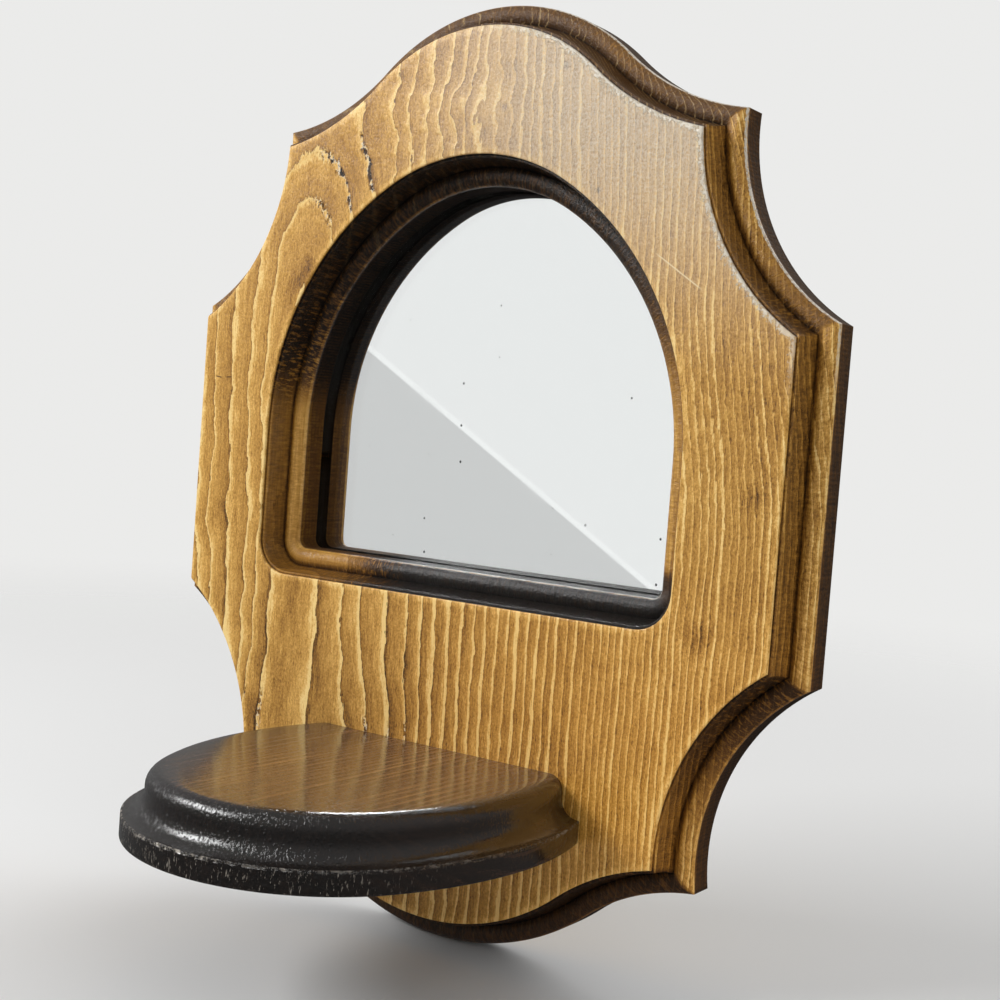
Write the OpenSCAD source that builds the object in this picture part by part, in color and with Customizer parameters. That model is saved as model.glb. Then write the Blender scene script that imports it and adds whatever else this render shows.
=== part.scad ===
// Wall mirror with a shelf: a shaped board with a routed edge and an arched opening,
// a silvered pane held behind the opening by clips, and a round-fronted shelf on the board's face.
// Seen from the front, +X is to the right, +Z is up and -Y comes towards the viewer.
// The origin is where the hanger's middle notch sits on its nail, in the plane of the wall.

/* [Board outline] */
// Thickness of the board
board_t = 19; // [16:0.5:24]
// Width of the flat face between its straight sides
face_w = 210; // [200:1:240]
// Height of the upper end of the straight sides above the board's middle
side_up = 45; // [38:0.5:50]
// Depth of the lower end of the straight sides below the board's middle
side_down = 42.5; // [38:0.5:50]
// Width of the face between its upper shoulder points
shoulder_w = 147; // [142:1:160]
// Height of the upper shoulder points above the middle
shoulder_up = 100; // [97:0.5:106]
// Width of the face between its lower shoulder points
foot_w = 152; // [144:1:164]
// Depth of the lower shoulder points below the middle
foot_down = 101; // [96:0.5:106]
// Radius of the upper side hollows
upper_hollow_r = 68; // [54:1:90]
// Radius of the lower side hollows
lower_hollow_r = 69; // [54:1:90]
// Height of the face's top above the middle
crown_up = 132.5; // [126:0.5:142]
// Radius of the round top
crown_r = 57.5; // [48:0.5:66]
// Radius of the reverse curves beside the round top
crown_reverse_r = 78; // [60:1:95]
// Depth of the face's lowest point below the middle
base_down = 132.5; // [128:0.5:142]
// Radius of the round base
base_r = 72; // [60:1:80]
// Radius of the reverse curves beside the round base
base_reverse_r = 69.5; // [58:0.5:85]

/* [Arched opening] */
// Width of the opening at the face
arch_w = 150.6; // [136:0.2:156]
// Height of the arch's top above the middle, at the face
arch_up = 95.3; // [90:0.1:97]
// Depth of the opening's sill below the middle, at the face
sill_down = 36.3; // [30:0.1:42]
// Height above the middle where the sides start to curve in
arch_spring = 10.2; // [0:0.1:16]
// Radius of the top of the arch
arch_top_r = 61.9; // [56:0.1:64]
// Radius of the opening's lower corners, at the face
arch_corner_r = 11; // [10:0.5:16]

/* [Routed edge of the board] */
// Width of the routed edge beyond the flat face
edge_w = 8; // [7:0.1:9]
// Depth of the routed edge's sharp outer corner below the face
edge_d = 10.1; // [9.6:0.1:12]
// Depth of the small step beside the face
step_d = 1.2; // [0.5:0.1:2.5]
// Width of the small step
step_w = 0.8; // [0.3:0.1:1.5]
// Depth below the face where the hollow meets the bead
groove_d = 9.4; // [8:0.1:10.5]
// Distance from the face's edge to where the hollow meets the bead
groove_w = 2.3; // [1.8:0.1:3]
// Radius of the bead
bead_r = 3.6; // [3.2:0.1:6]

/* [Shelf] */
// Thickness of the shelf
shelf_t = 18; // [15:0.5:22]
// Depth of the shelf's top below the board's middle
shelf_down = 80.6; // [76:0.2:84]
// Greatest width of the shelf's flat top
shelf_w = 93; // [88:1:110]
// Reach of the flat top from the board's face
shelf_reach = 92.7; // [84:0.1:110]
// Distance from the board's face to the shelf's greatest width
shelf_widest = 29.4; // [15:0.2:36]
// Radius of the shelf's front
shelf_front_r = 41.4; // [36:0.2:43]
// Radius of the round along the shelf's top edge
shelf_round_r = 4.5; // [3:0.1:5]
// Height of the upright band under the round
shelf_band_h = 1.7; // [0.5:0.1:3]
// Radius of the hollow above the shelf's lower edge
shelf_cove_r = 5.3; // [4:0.1:6]
// Width of the flat lip outside that hollow
shelf_lip_w = 0.6; // [0.2:0.1:1.5]

/* [Mirror] */
// Thickness of the mirror glass
glass_t = 4; // [3:0.5:5]
// Lap of the glass behind the board around the opening
glass_lap = 9; // [6:0.5:10]
// Thickness of the card behind the glass
card_t = 1; // [0.5:0.1:1.8]
// Distance of the card's edge inside the glass's edge
card_inset = 1; // [0:0.5:3]

/* [Mirror clips] */
// Thickness of the clip strip
clip_t = 1; // [0.6:0.1:1.5]
// Width of a clip
clip_w = 12; // [8:0.5:16]
// Length of a clip's foot on the board
clip_foot = 12; // [10:0.5:13]
// Length of a clip's lip over the card
clip_lip = 7; // [5:0.5:12]
// Distance of the clips from the centre line
clip_x = 42; // [36:0.5:46]
// Gap between a clip and the edge of the glass
clip_gap = 0.3; // [0.1:0.1:1]

/* [Hanger and wall buffers] */
// Height of the hanger's notches above the board's middle
hang_up = 117; // [113:0.5:121]
// Length of the hanger plate
hanger_l = 46; // [40:1:52]
// Height of the hanger plate
hanger_h = 9; // [8:0.5:12]
// Thickness of the hanger plate
hanger_t = 0.9; // [0.6:0.1:1.5]
// Length of the flat tab at each end of the plate
hanger_tab = 7; // [6:0.5:8]
// Gap behind the hanger's raised middle
hanger_gap = 2.4; // [1.5:0.1:3.5]
// Number of the hanger's notches
notch_n = 11; // [5:2:13]
// Height of a notch
notch_h = 1.6; // [1:0.1:2]
// Diameter of a wall buffer
buffer_d = 12.7; // [9:0.1:16]
// Thickness of a wall buffer, which sets the gap behind the board
buffer_t = 7; // [7:0.5:12]
// Distance of the buffers from the centre line
buffer_x = 96; // [88:0.5:98]
// Distance of the buffers above and below the board's middle
buffer_up = 31; // [15:0.5:34]

/* [Screws and nails] */
// Diameter of the shelf screws
shelf_screw_d = 4; // [3:0.1:5]
// Length of the shelf screws
shelf_screw_l = 42; // [34:1:60]
// Distance between the two shelf screws
shelf_screw_gap = 50; // [30:1:64]
// Play of a shelf screw in the board
shelf_screw_play = 0.5; // [0.2:0.1:1]
// Diameter of the clip screws
clip_screw_d = 2.5; // [2:0.1:3.5]
// Length of the clip screws below their heads
clip_screw_l = 12; // [8:0.5:14]
// Diameter of the hanger nails
nail_d = 1.6; // [1.2:0.1:2]
// Length of the hanger nails below their heads
nail_l = 13; // [8:0.5:15]

/* [Hidden] */
$fn = 96;

// Straight pieces in each curve of an edge's section
curve_steps = 6;
// Overlap of two curves that flow into each other, on the line through their centres
curve_lap = 0.03;
// How far a cutting body runs past the face that it opens
past = 2;
// A screw's or nail's head is this many times as wide as its shank
head_ratio = 2;
// Height of a round head, as a share of the shank's diameter
head_height_ratio = 0.5;
// Length of a point, as a share of the shank's diameter
point_ratio = 1;
// Free space left beyond a point
hole_spare = 1;
// How much narrower a buffer is at the wall than at the board, all round
buffer_taper = 0.8;
// Length of the slope between the hanger's tabs and its raised middle
hanger_slope = 3;
// Plain metal left beside the outermost notches
notch_margin = 1;
// Width of the flat between two notches
tooth_flat = 0.5;

pine = [0.62, 0.40, 0.16];
dark_pine = [0.36, 0.21, 0.10];
silvered = [0.86, 0.89, 0.90];
card_grey = [0.62, 0.60, 0.55];
steel = [0.72, 0.72, 0.70];
brass = [0.78, 0.62, 0.30];
black_rubber = [0.12, 0.12, 0.12];

// ---- Geometry of circles and curves ----

// Centre of the circle of radius r through p and q, on the left of the way from p to q
function centre_left(p, q, r) =
    let (way = q - p, half = norm(way) / 2)
    (p + q) / 2 + sqrt(r * r - half * half) * [-way.y, way.x] / norm(way);

// Point at distance ra from a and rb from b, on the left of the way from a to b
function crossing_left(a, ra, b, rb) =
    let (way = b - a, l = norm(way), along = (ra * ra - rb * rb + l * l) / (2 * l))
    a + along * way / l + sqrt(ra * ra - along * along) * [-way.y, way.x] / l;

// Direction from p to q, in degrees
function bearing(p, q) = atan2(q.y - p.y, q.x - p.x);

// Points on the circle of centre c and radius r, from angle a0 to angle a1
function arc(c, r, a0, a1) =
    [for (i = [0:curve_steps]) let (a = a0 + (a1 - a0) * i / curve_steps) c + r * [cos(a), sin(a)]];

// Radius of a bow's side curves, which start upright at the half width w, rise by rise
// and flow into a round top of radius top_r
function bow_side_r(w, rise, top_r) =
    let (lapped_r = top_r - curve_lap, up = rise - top_r)
    (w * w + up * up - lapped_r * lapped_r) / (2 * (w - lapped_r));

// ---- The board's routed edge: points [distance outside the face's edge, height above the back] ----

groove = [groove_w, board_t - groove_d];
sharp_corner = [edge_w, board_t - edge_d];

// The hollow leaves the step upright and bends outwards as it goes down to the groove
hollow_fall = groove_d - step_d;
hollow_out = groove_w - step_w;
hollow_r = (hollow_fall * hollow_fall + hollow_out * hollow_out) / (2 * hollow_out);
hollow_c = [step_w + hollow_r, board_t - step_d];
hollow_curve = arc(hollow_c, hollow_r, 180, 180 + asin(hollow_fall / hollow_r));

// The bead swells from the groove and ends at the sharp corner
bead_c = centre_left(sharp_corner, groove, bead_r);
bead_curve = arc(bead_c, bead_r, bearing(bead_c, groove), bearing(bead_c, sharp_corner));

function edge_section(top, bottom) = concat(
    [[0, top], [0, board_t - step_d]], hollow_curve, bead_curve, [[edge_w, bottom]]);
board_edge = edge_section(board_t, 0);
cutting_edge = edge_section(board_t + past, -past);

// ---- The shelf's edge: points [distance outside the flat top's edge, height above the underside] ----

round_c = [0, shelf_t - shelf_round_r];
cove_c = [shelf_round_r + shelf_cove_r, round_c.y - shelf_band_h];
shelf_edge_w = cove_c.x + shelf_lip_w;
shelf_edge = concat(
    arc(round_c, shelf_round_r, 90, 0),
    arc(cove_c, shelf_cove_r, 180, 270),
    [[shelf_edge_w, cove_c.y - shelf_cove_r], [shelf_edge_w, 0]]);

// ---- Sizes that follow from others ----

// Half width of the opening, and the centre of its lower right corner
opening_x = arch_w / 2;
sill_corner = [opening_x - arch_corner_r, arch_corner_r - sill_down];
// What is left clear inside the opening's routed edge
clear_x = opening_x - edge_w;
clear_top = arch_up - edge_w;
clear_sill = edge_w - sill_down;
glass_size = [2 * (clear_x + glass_lap), clear_top - clear_sill + 2 * glass_lap];
glass_low = clear_sill - glass_lap;
glass_high = clear_top + glass_lap;
pane_t = glass_t + card_t;
// Distance of a clip's screw from the edge of the glass, and the places of the four screws
clip_hole = clip_gap + clip_t + clip_foot / 2;
clip_screw_places =
    [for (x = [-clip_x, clip_x], y = [glass_low - clip_hole, glass_high + clip_hole]) [x, y]];
shelf_screw_x = shelf_screw_gap / 2;
shelf_screw_up = -shelf_down - shelf_t / 2;
nail_x = (hanger_l - hanger_tab) / 2;
hanger_low = hang_up - notch_h;

// ---- Tools shared by the pieces ----

// Board space has its face upwards: x to the right, y up the board, z out of the board's back.
// This stands it up against the wall, with the hanging point at the origin.
module hung() {
    translate([0, -buffer_t, -hang_up]) rotate([90, 0, 0]) children();
}

// Disc about c whose rim has the section given, outside the radius r with side = 1
// or inside it with side = -1
module disc(section, c, r, side) {
    rim = [for (p = section) [r + side * p.x, p.y]];
    foot = [0, section[len(section) - 1].y];
    translate([c.x, c.y, 0]) rotate_extrude() polygon(concat([[0, section[0].y]], rim, [foot]));
}

// The same on both sides of the centre line
module both_sides() {
    children();
    mirror([1, 0, 0]) children();
}

// Points on the right of the centre line, followed by their mirror images in reverse
function mirrored(right) =
    concat(right, [for (i = [len(right) - 1:-1:0]) [-right[i].x, right[i].y]]);

// Bar along y from low to high, w wide on each side of the centre line before its edges
module edged_bar(section, w, low, high, side) {
    right = [for (p = section) [w + side * p.x, p.y]];
    translate([0, high, 0]) rotate([90, 0, 0]) linear_extrude(high - low) polygon(mirrored(right));
}

// A bow: a round top of radius top_r at the height top, and side curves that run down from it
// through the half width w at the height widest, as far as the height low
module bow(section, low, widest, w, top, top_r, side) {
    side_r = bow_side_r(w, top - widest, top_r);
    side_c = [w - side_r, widest];
    top_c = [0, top - top_r];
    outer = section[len(section) - 1];
    reach = w + outer.x + past;
    slope = (top_c.y - side_c.y) / (top_c.x - side_c.x);
    disc(section, top_c, top_r, side);
    intersection() {
        disc(section, side_c, side_r, side);
        mirror([1, 0, 0]) disc(section, side_c, side_r, side);
        translate([0, 0, outer.y]) linear_extrude(section[0].y - outer.y)
            polygon(concat([top_c], mirrored([[reach, top_c.y + reach * slope], [reach, low]])));
    }
}

// ---- Backboard ----

// Centres of the curves of one end of the board: its side hollow, its reverse curve and its round
function end_centres(side_h, shoulder, hollow_r, top, top_r, reverse_r) =
    let (round_c = [0, top - top_r])
    [centre_left(shoulder, [face_w / 2, side_h], hollow_r),
     crossing_left(round_c, top_r + reverse_r - curve_lap, shoulder, reverse_r),
     round_c];

upper_centres = end_centres(side_up, [shoulder_w / 2, shoulder_up], upper_hollow_r,
                    crown_up, crown_r, crown_reverse_r);
lower_centres = end_centres(side_down, [foot_w / 2, foot_down], lower_hollow_r,
                    base_down, base_r, base_reverse_r);

// What the hollows and reverse curves take off the upper end; the lower end's are turned over
module end_cuts(centres, hollow_r, reverse_r) {
    both_sides() {
        disc(cutting_edge, centres[0], hollow_r, -1);
        disc(cutting_edge, centres[1], reverse_r, -1);
    }
}

module board_outline() {
    turned_over = [for (i = [len(lower_centres) - 1:-1:0]) [lower_centres[i].x, -lower_centres[i].y]];
    difference() {
        intersection() {
            edged_bar(board_edge, face_w / 2, -lower_centres[1].y, upper_centres[1].y, 1);
            linear_extrude(board_t) polygon(mirrored(concat(turned_over, upper_centres)));
        }
        end_cuts(upper_centres, upper_hollow_r, crown_reverse_r);
        mirror([0, 1, 0]) end_cuts(lower_centres, lower_hollow_r, base_reverse_r);
    }
    disc(board_edge, upper_centres[2], crown_r, 1);
    mirror([0, 1, 0]) disc(board_edge, lower_centres[2], base_r, 1);
}

// The opening's lower part: upright sides, a level sill and round corners between them
module sill_cut() {
    sill = [for (p = cutting_edge) [p.x - sill_down, p.y]];
    sill_top = [[arch_spring, -past], [arch_spring, board_t + past]];
    edged_bar(cutting_edge, opening_x, sill_corner.y, arch_spring, -1);
    translate([-sill_corner.x, 0, 0]) rotate([90, 0, 90])
        linear_extrude(2 * sill_corner.x) polygon(concat(sill, sill_top));
    both_sides() disc(cutting_edge, sill_corner, arch_corner_r + curve_lap, -1);
}

module shelf_screw_hole(x) {
    r = (shelf_screw_d + shelf_screw_play) / 2;
    head_r = shelf_screw_d * head_ratio / 2;
    translate([x, shelf_screw_up, -past]) cylinder(r = r, h = board_t + 2 * past);
    translate([x, shelf_screw_up, 0]) cylinder(r1 = head_r, r2 = r, h = head_r - r);
}

module backboard() {
    color(pine) hung() difference() {
        board_outline();
        bow(cutting_edge, (sill_corner.y + arch_spring) / 2, arch_spring, opening_x + curve_lap,
            arch_up, arch_top_r, -1);
        sill_cut();
        for (x = [-shelf_screw_x, shelf_screw_x]) shelf_screw_hole(x);
        for (place = clip_screw_places) translate([place.x, place.y, -past])
            cylinder(d = clip_screw_d, h = clip_screw_l - clip_t + hole_spare + past);
        for (x = [-nail_x, nail_x]) translate([x, hanger_low + hanger_h / 2, -past])
            cylinder(d = nail_d, h = nail_l - hanger_t + hole_spare + past);
    }
}

// ---- Shelf: drawn in plan, with y away from the board's face ----

module shelf() {
    pilot = shelf_screw_l - board_t + hole_spare;
    reach = shelf_reach + shelf_edge_w + past;
    color(dark_pine)
        translate([0, -buffer_t - board_t, -hang_up - shelf_down - shelf_t])
        mirror([0, 1, 0]) difference() {
            intersection() {
                bow(shelf_edge, -past, shelf_widest, shelf_w / 2, shelf_reach, shelf_front_r, 1);
                translate([-reach, 0, -past]) cube([2 * reach, reach, shelf_t + 2 * past]);
            }
            for (x = [-shelf_screw_x, shelf_screw_x]) translate([x, -past, shelf_t / 2])
                rotate([-90, 0, 0]) cylinder(d = shelf_screw_d, h = pilot + past);
        }
}

// ---- Mirror and its card ----

module mirror_glass() {
    color(silvered) hung() translate([-glass_size.x / 2, glass_low, -glass_t])
        cube([glass_size.x, glass_size.y, glass_t]);
}

module backing_card() {
    size = glass_size - 2 * [card_inset, card_inset];
    color(card_grey) hung() translate([-size.x / 2, glass_low + card_inset, -pane_t])
        cube([size.x, size.y, card_t]);
}

// ---- Mirror clips: strips bent twice, screwed to the board and lapping the card ----

module mirror_clip(x_side, up_side) {
    outer = clip_gap + clip_t;
    bend = [[-outer - clip_foot, 0], [-clip_gap, 0], [-clip_gap, -pane_t], [clip_lip, -pane_t],
            [clip_lip, -pane_t - clip_t], [-outer, -pane_t - clip_t], [-outer, -clip_t],
            [-outer - clip_foot, -clip_t]];
    glass_edge = up_side > 0 ? glass_high : glass_low;
    color(brass) hung() translate([x_side * clip_x, glass_edge, 0])
        rotate([0, 0, up_side > 0 ? 180 : 0]) difference() {
            translate([-clip_w / 2, 0, 0]) rotate([90, 0, 90]) linear_extrude(clip_w) polygon(bend);
            translate([0, -clip_hole, -clip_t - past]) cylinder(d = clip_screw_d, h = clip_t + 2 * past);
        }
}

// Shank of diameter d that runs up from z = 0 to a point at z = l, under the head's outline
module turned_fastener(head, d, l) {
    rotate_extrude() polygon(concat(head, [[d / 2, l - d * point_ratio], [0, l]]));
}

// Screw or nail with a round head, whose flat side is at z = 0
module round_headed(d, l) {
    head_r = d * head_ratio / 2;
    head_h = d * head_height_ratio;
    dome_r = (head_r * head_r + head_h * head_h) / (2 * head_h);
    dome_c = [0, dome_r - head_h];
    dome = arc(dome_c, dome_r, -90, bearing(dome_c, [head_r, 0]));
    turned_fastener(concat(dome, [[d / 2, 0]]), d, l);
}

module clip_screws() {
    color(brass) hung() for (place = clip_screw_places) translate([place.x, place.y, -clip_t])
        round_headed(clip_screw_d, clip_screw_l);
}

module shelf_screws() {
    r = shelf_screw_d / 2;
    head_r = r * head_ratio;
    color(steel) hung() for (x = [-shelf_screw_x, shelf_screw_x]) translate([x, shelf_screw_up, 0])
        turned_fastener([[0, 0], [head_r, 0], [r, head_r - r]], shelf_screw_d, shelf_screw_l);
}

// ---- Hanger: a plate with a raised middle, whose lower edge is notched for the nail ----

module hanger() {
    tab_end = hanger_l / 2 - hanger_tab;
    raised = tab_end - hanger_slope;
    right = [[raised, -hanger_gap], [tab_end, 0], [hanger_l / 2, 0],
             [hanger_l / 2, -hanger_t], [tab_end, -hanger_t], [raised, -hanger_gap - hanger_t]];
    pitch = 2 * (raised - notch_margin) / notch_n;
    notch_x = (pitch - tooth_flat) / 2;
    notch = concat([[0, 0]], mirrored([[notch_x, -notch_h], [notch_x, -notch_h - past]]));
    color(brass) hung() difference() {
        translate([0, hanger_low + hanger_h, 0]) rotate([90, 0, 0])
            linear_extrude(hanger_h) polygon(mirrored(right));
        for (i = [0:notch_n - 1])
            translate([(i - (notch_n - 1) / 2) * pitch, hang_up, -hanger_gap - hanger_t - past])
            linear_extrude(hanger_gap + hanger_t + past) polygon(notch);
        for (x = [-nail_x, nail_x]) translate([x, hanger_low + hanger_h / 2, -hanger_t - past])
            cylinder(d = nail_d, h = hanger_t + 2 * past);
    }
}

module hanger_nails() {
    color(steel) hung() for (x = [-nail_x, nail_x]) translate([x, hanger_low + hanger_h / 2, -hanger_t])
        round_headed(nail_d, nail_l);
}

// ---- Wall buffers ----

module wall_buffer(x_side, up_side) {
    color(black_rubber) hung() translate([x_side * buffer_x, up_side * buffer_up, -buffer_t])
        cylinder(r1 = buffer_d / 2 - buffer_taper, r2 = buffer_d / 2, h = buffer_t);
}

backboard();
shelf();
mirror_glass();
backing_card();
mirror_clip(-1, 1);  // clip_top_left
mirror_clip(1, 1);  // clip_top_right
mirror_clip(-1, -1);  // clip_bottom_left
mirror_clip(1, -1);  // clip_bottom_right
clip_screws();
shelf_screws();
hanger();
hanger_nails();
wall_buffer(-1, 1);  // buffer_top_left
wall_buffer(1, 1);  // buffer_top_right
wall_buffer(-1, -1);  // buffer_bottom_left
wall_buffer(1, -1);  // buffer_bottom_right
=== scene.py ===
"""Wall mirror with a shelf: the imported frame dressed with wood, glass and metal for its picture."""

import logging
import math
from dataclasses import dataclass
from enum import Enum
from typing import Sequence

import bmesh
import bpy
from mathutils import Matrix, Vector


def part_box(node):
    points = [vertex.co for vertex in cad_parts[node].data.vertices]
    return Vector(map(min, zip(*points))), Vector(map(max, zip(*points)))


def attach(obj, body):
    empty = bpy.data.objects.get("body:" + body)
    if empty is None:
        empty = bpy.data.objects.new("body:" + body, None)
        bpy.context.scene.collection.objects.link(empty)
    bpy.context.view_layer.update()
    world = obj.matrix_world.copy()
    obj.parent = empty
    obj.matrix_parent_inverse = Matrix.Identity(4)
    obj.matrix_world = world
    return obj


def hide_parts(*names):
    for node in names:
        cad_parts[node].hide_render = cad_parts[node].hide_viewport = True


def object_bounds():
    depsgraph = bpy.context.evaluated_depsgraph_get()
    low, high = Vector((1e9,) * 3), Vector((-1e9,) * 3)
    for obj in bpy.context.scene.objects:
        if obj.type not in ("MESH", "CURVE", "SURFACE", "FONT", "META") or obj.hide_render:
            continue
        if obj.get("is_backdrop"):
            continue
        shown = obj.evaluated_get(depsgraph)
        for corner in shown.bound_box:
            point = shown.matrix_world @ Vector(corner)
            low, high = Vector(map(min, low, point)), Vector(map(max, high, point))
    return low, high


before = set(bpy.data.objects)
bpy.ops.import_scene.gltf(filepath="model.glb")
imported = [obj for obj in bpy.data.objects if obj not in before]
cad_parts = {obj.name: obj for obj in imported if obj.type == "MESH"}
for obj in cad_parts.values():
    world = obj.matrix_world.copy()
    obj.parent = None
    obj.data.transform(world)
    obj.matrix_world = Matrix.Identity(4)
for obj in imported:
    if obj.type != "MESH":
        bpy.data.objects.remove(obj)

LOG = logging.getLogger("mirror_with_shelf")
MM = 0.001
BODY = "root"
WELD = 1e-3  # points that are nearer than this, in millimetres, are joined
LEVEL = 1e-4  # points that differ by less than this, in millimetres, lie at one height
HOLE_STEPS = 32

Pair = tuple[float, float]
Triple = tuple[float, float, float]
Colour = Triple


class Slot(Enum):
    """The record's material slots."""

    BOARD_WOOD = "board_wood"
    SHELF_WOOD = "shelf_wood"
    MIRROR_GLASS = "mirror_glass"
    CARD = "card"
    BRASSED_STEEL = "brassed_steel"
    ZINC_STEEL = "zinc_steel"
    RUBBER = "rubber"


def paint(red: int, green: int, blue: int) -> Colour:
    """Turns a paint colour of 0 to 255 a channel into light levels.

    Args:
        red: Red, from 0 to 255.
        green: Green, from 0 to 255.
        blue: Blue, from 0 to 255.

    Returns:
        The colour as the shaders take it.
    """

    def level(value: int) -> float:
        """Light level of one channel."""
        share = value / 255
        return share / 12.92 if share <= 0.04045 else ((share + 0.055) / 1.055) ** 2.4

    return level(red), level(green), level(blue)


# ---- Outlines and edge sections, in millimetres ----


@dataclass(frozen=True)
class Arc:
    """Arc of an outline, which bulges outwards (+1) or is hollow (-1)."""

    centre: Vector
    radius: float
    bulge: int
    steps: int

    def radius_at(self, offset: float) -> float:
        """Radius of the arc moved outwards by the offset."""
        return self.radius + self.bulge * offset


@dataclass(frozen=True)
class Straight:
    """Straight run of an outline; its outward direction is zero where it stays in place."""

    point: Vector
    along: Vector
    outward: Vector
    steps: int = 1

    def point_at(self, offset: float) -> Vector:
        """A point of the run moved outwards by the offset."""
        return self.point + self.outward * offset


Run = Arc | Straight
CENTRE_LINE = Straight(Vector((0, 0)), Vector((0, 1)), Vector((0, 0)))


def nearest(points: Sequence[Vector], target: Vector) -> Vector:
    """The one of the points that is nearest to the target."""
    return min(points, key=lambda point: (point - target).length)


def crossing(first: Run, second: Run, offset: float, near: Vector) -> Vector:
    """Finds where two neighbouring runs meet once both are moved outwards.

    Args:
        first: One run.
        second: The next run.
        offset: Distance that both move outwards.
        near: Where they meet before the move.

    Returns:
        The meeting point nearest to that place.
    """
    if isinstance(first, Arc) and isinstance(second, Arc):
        way = second.centre - first.centre
        radius = first.radius_at(offset)
        other = second.radius_at(offset)
        along = (radius**2 - other**2 + way.length_squared) / (2 * way.length)
        height = math.sqrt(max(0.0, radius**2 - along**2))
        unit = way.normalized()
        foot = first.centre + unit * along
        side = Vector((-unit.y, unit.x)) * height
        return nearest((foot + side, foot - side), near)
    if isinstance(first, Straight) and isinstance(second, Straight):
        start = first.point_at(offset)
        gap = second.point_at(offset) - start
        turn = first.along.cross(second.along)
        return start + first.along * (gap.cross(second.along) / turn)
    arc, line = (first, second) if isinstance(first, Arc) else (second, first)
    start = line.point_at(offset)
    reach = start - arc.centre
    middle = -reach.dot(line.along)
    inside = middle**2 - reach.length_squared + arc.radius_at(offset) ** 2
    half = math.sqrt(max(0.0, inside))
    ends = (start + line.along * (middle + half), start + line.along * (middle - half))
    return nearest(ends, near)


def centre_left(start: Vector, end: Vector, radius: float) -> Vector:
    """Centre of the circle through both points, on the left of the way between them."""
    way = end - start
    rise = math.sqrt(radius**2 - way.length_squared / 4)
    return (start + end) / 2 + Vector((-way.y, way.x)).normalized() * rise


def centre_beside(centre: Vector, radius: float, point: Vector, point_radius: float) -> Vector:
    """Point at the given distances from the centre and the point, on the left of their line."""
    way = point - centre
    along = (radius**2 - point_radius**2 + way.length_squared) / (2 * way.length)
    side = Vector((-way.y, way.x)).normalized()
    return centre + way.normalized() * along + side * math.sqrt(radius**2 - along**2)


def bow_side_radius(half_width: float, rise: float, top_radius: float) -> float:
    """Radius of a bow's side curves, which start upright and flow into its round top."""
    height = rise - top_radius
    return (half_width**2 + height**2 - top_radius**2) / (2 * (half_width - top_radius))


@dataclass(frozen=True)
class Outline:
    """Right half of an outline, from one fixed line to another."""

    start: Straight
    runs: tuple[Run, ...]
    end: Straight
    joints: tuple[Vector, ...]

    def ends_at(self, offset: float) -> list[Vector]:
        """Ends of all runs once the outline is moved outwards by the offset."""
        whole = (self.start, *self.runs, self.end)
        pairs = zip(whole, whole[1:], self.joints)
        return [crossing(first, second, offset, near) for first, second, near in pairs]

    def draw(self, mesh: bmesh.types.BMesh, offset: float, height: float) -> list[bmesh.types.BMVert]:
        """Draws the outline as a chain of edges.

        Args:
            mesh: The mesh that it is drawn in.
            offset: Distance that the outline moves outwards.
            height: Height of the chain.

        Returns:
            The chain's vertices in order.
        """
        ends = self.ends_at(offset)
        sketch = bmesh.new()
        last = bmesh.ops.create_vert(sketch, co=(*ends[0], height))["vert"]
        for run, start, end in zip(self.runs, ends, ends[1:]):
            turn, move, centre = 0.0, Vector((0, 0, 0)), Vector((0, 0, height))
            if isinstance(run, Arc):
                turn = -(start - run.centre).angle_signed(end - run.centre)
                centre = Vector((*run.centre, height))
            else:
                move = Vector((*(end - start), 0)) / run.steps
            last = bmesh.ops.spin(sketch, geom=last, cent=centre, axis=(0, 0, 1), angle=turn, dvec=move,
                                  steps=run.steps, use_duplicate=False)["geom_last"]
            last = [item for item in last if isinstance(item, bmesh.types.BMVert)]
        before = len(mesh.verts)
        carried = kept(sketch, "chain")
        mesh.from_mesh(carried)
        bpy.data.meshes.remove(carried)
        return list(mesh.verts)[before:]


@dataclass(frozen=True)
class Station:
    """A point of an edge's section: its place, the wear on its arrises and the painted shade in its hollows.
    """

    out: float
    height: float
    tone: float = 0.0  # -1 for painted shade in a groove or inner corner, +1 for a worn arris
    soft: float = 0.0  # how far the corner is rounded back on each side

    @property
    def place(self) -> Vector:
        """Place in the section."""
        return Vector((self.out, self.height))


def curved(centre: Vector, start: Vector, end: Vector, steps: int, tone: float = 0.0) -> list[Station]:
    """Stations inside an arc of a section, without its two ends.

    Args:
        centre: Centre of the arc.
        start: Its first point.
        end: Its last point.
        steps: Number of straight pieces.
        tone: Tone of every station.

    Returns:
        The stations in order.
    """
    turn = -(start - centre).angle_signed(end - centre)
    arm = start - centre
    places = [centre + Matrix.Rotation(turn * i / steps, 2) @ arm for i in range(1, steps)]
    return [Station(place.x, place.y, tone) for place in places]


def softened(corners: Sequence[Station], steps: int = 4) -> list[Station]:
    """Rounds the corners of a section that have a softness.

    Args:
        corners: The section with sharp corners.
        steps: Number of straight pieces of each round.

    Returns:
        The section with rounded corners.
    """
    section = []
    for i, corner in enumerate(corners):
        if not corner.soft:
            section.append(corner)
            continue
        before = (corners[i - 1].place - corner.place).normalized() * corner.soft
        after = (corners[i + 1].place - corner.place).normalized() * corner.soft
        for step in range(steps + 1):
            share = step / steps
            place = corner.place + before * (1 - share) ** 2 + after * share**2
            section.append(Station(place.x, place.y, corner.tone))
    return section


LAYERS = ("along", "across", "tone", "endwise")


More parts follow.
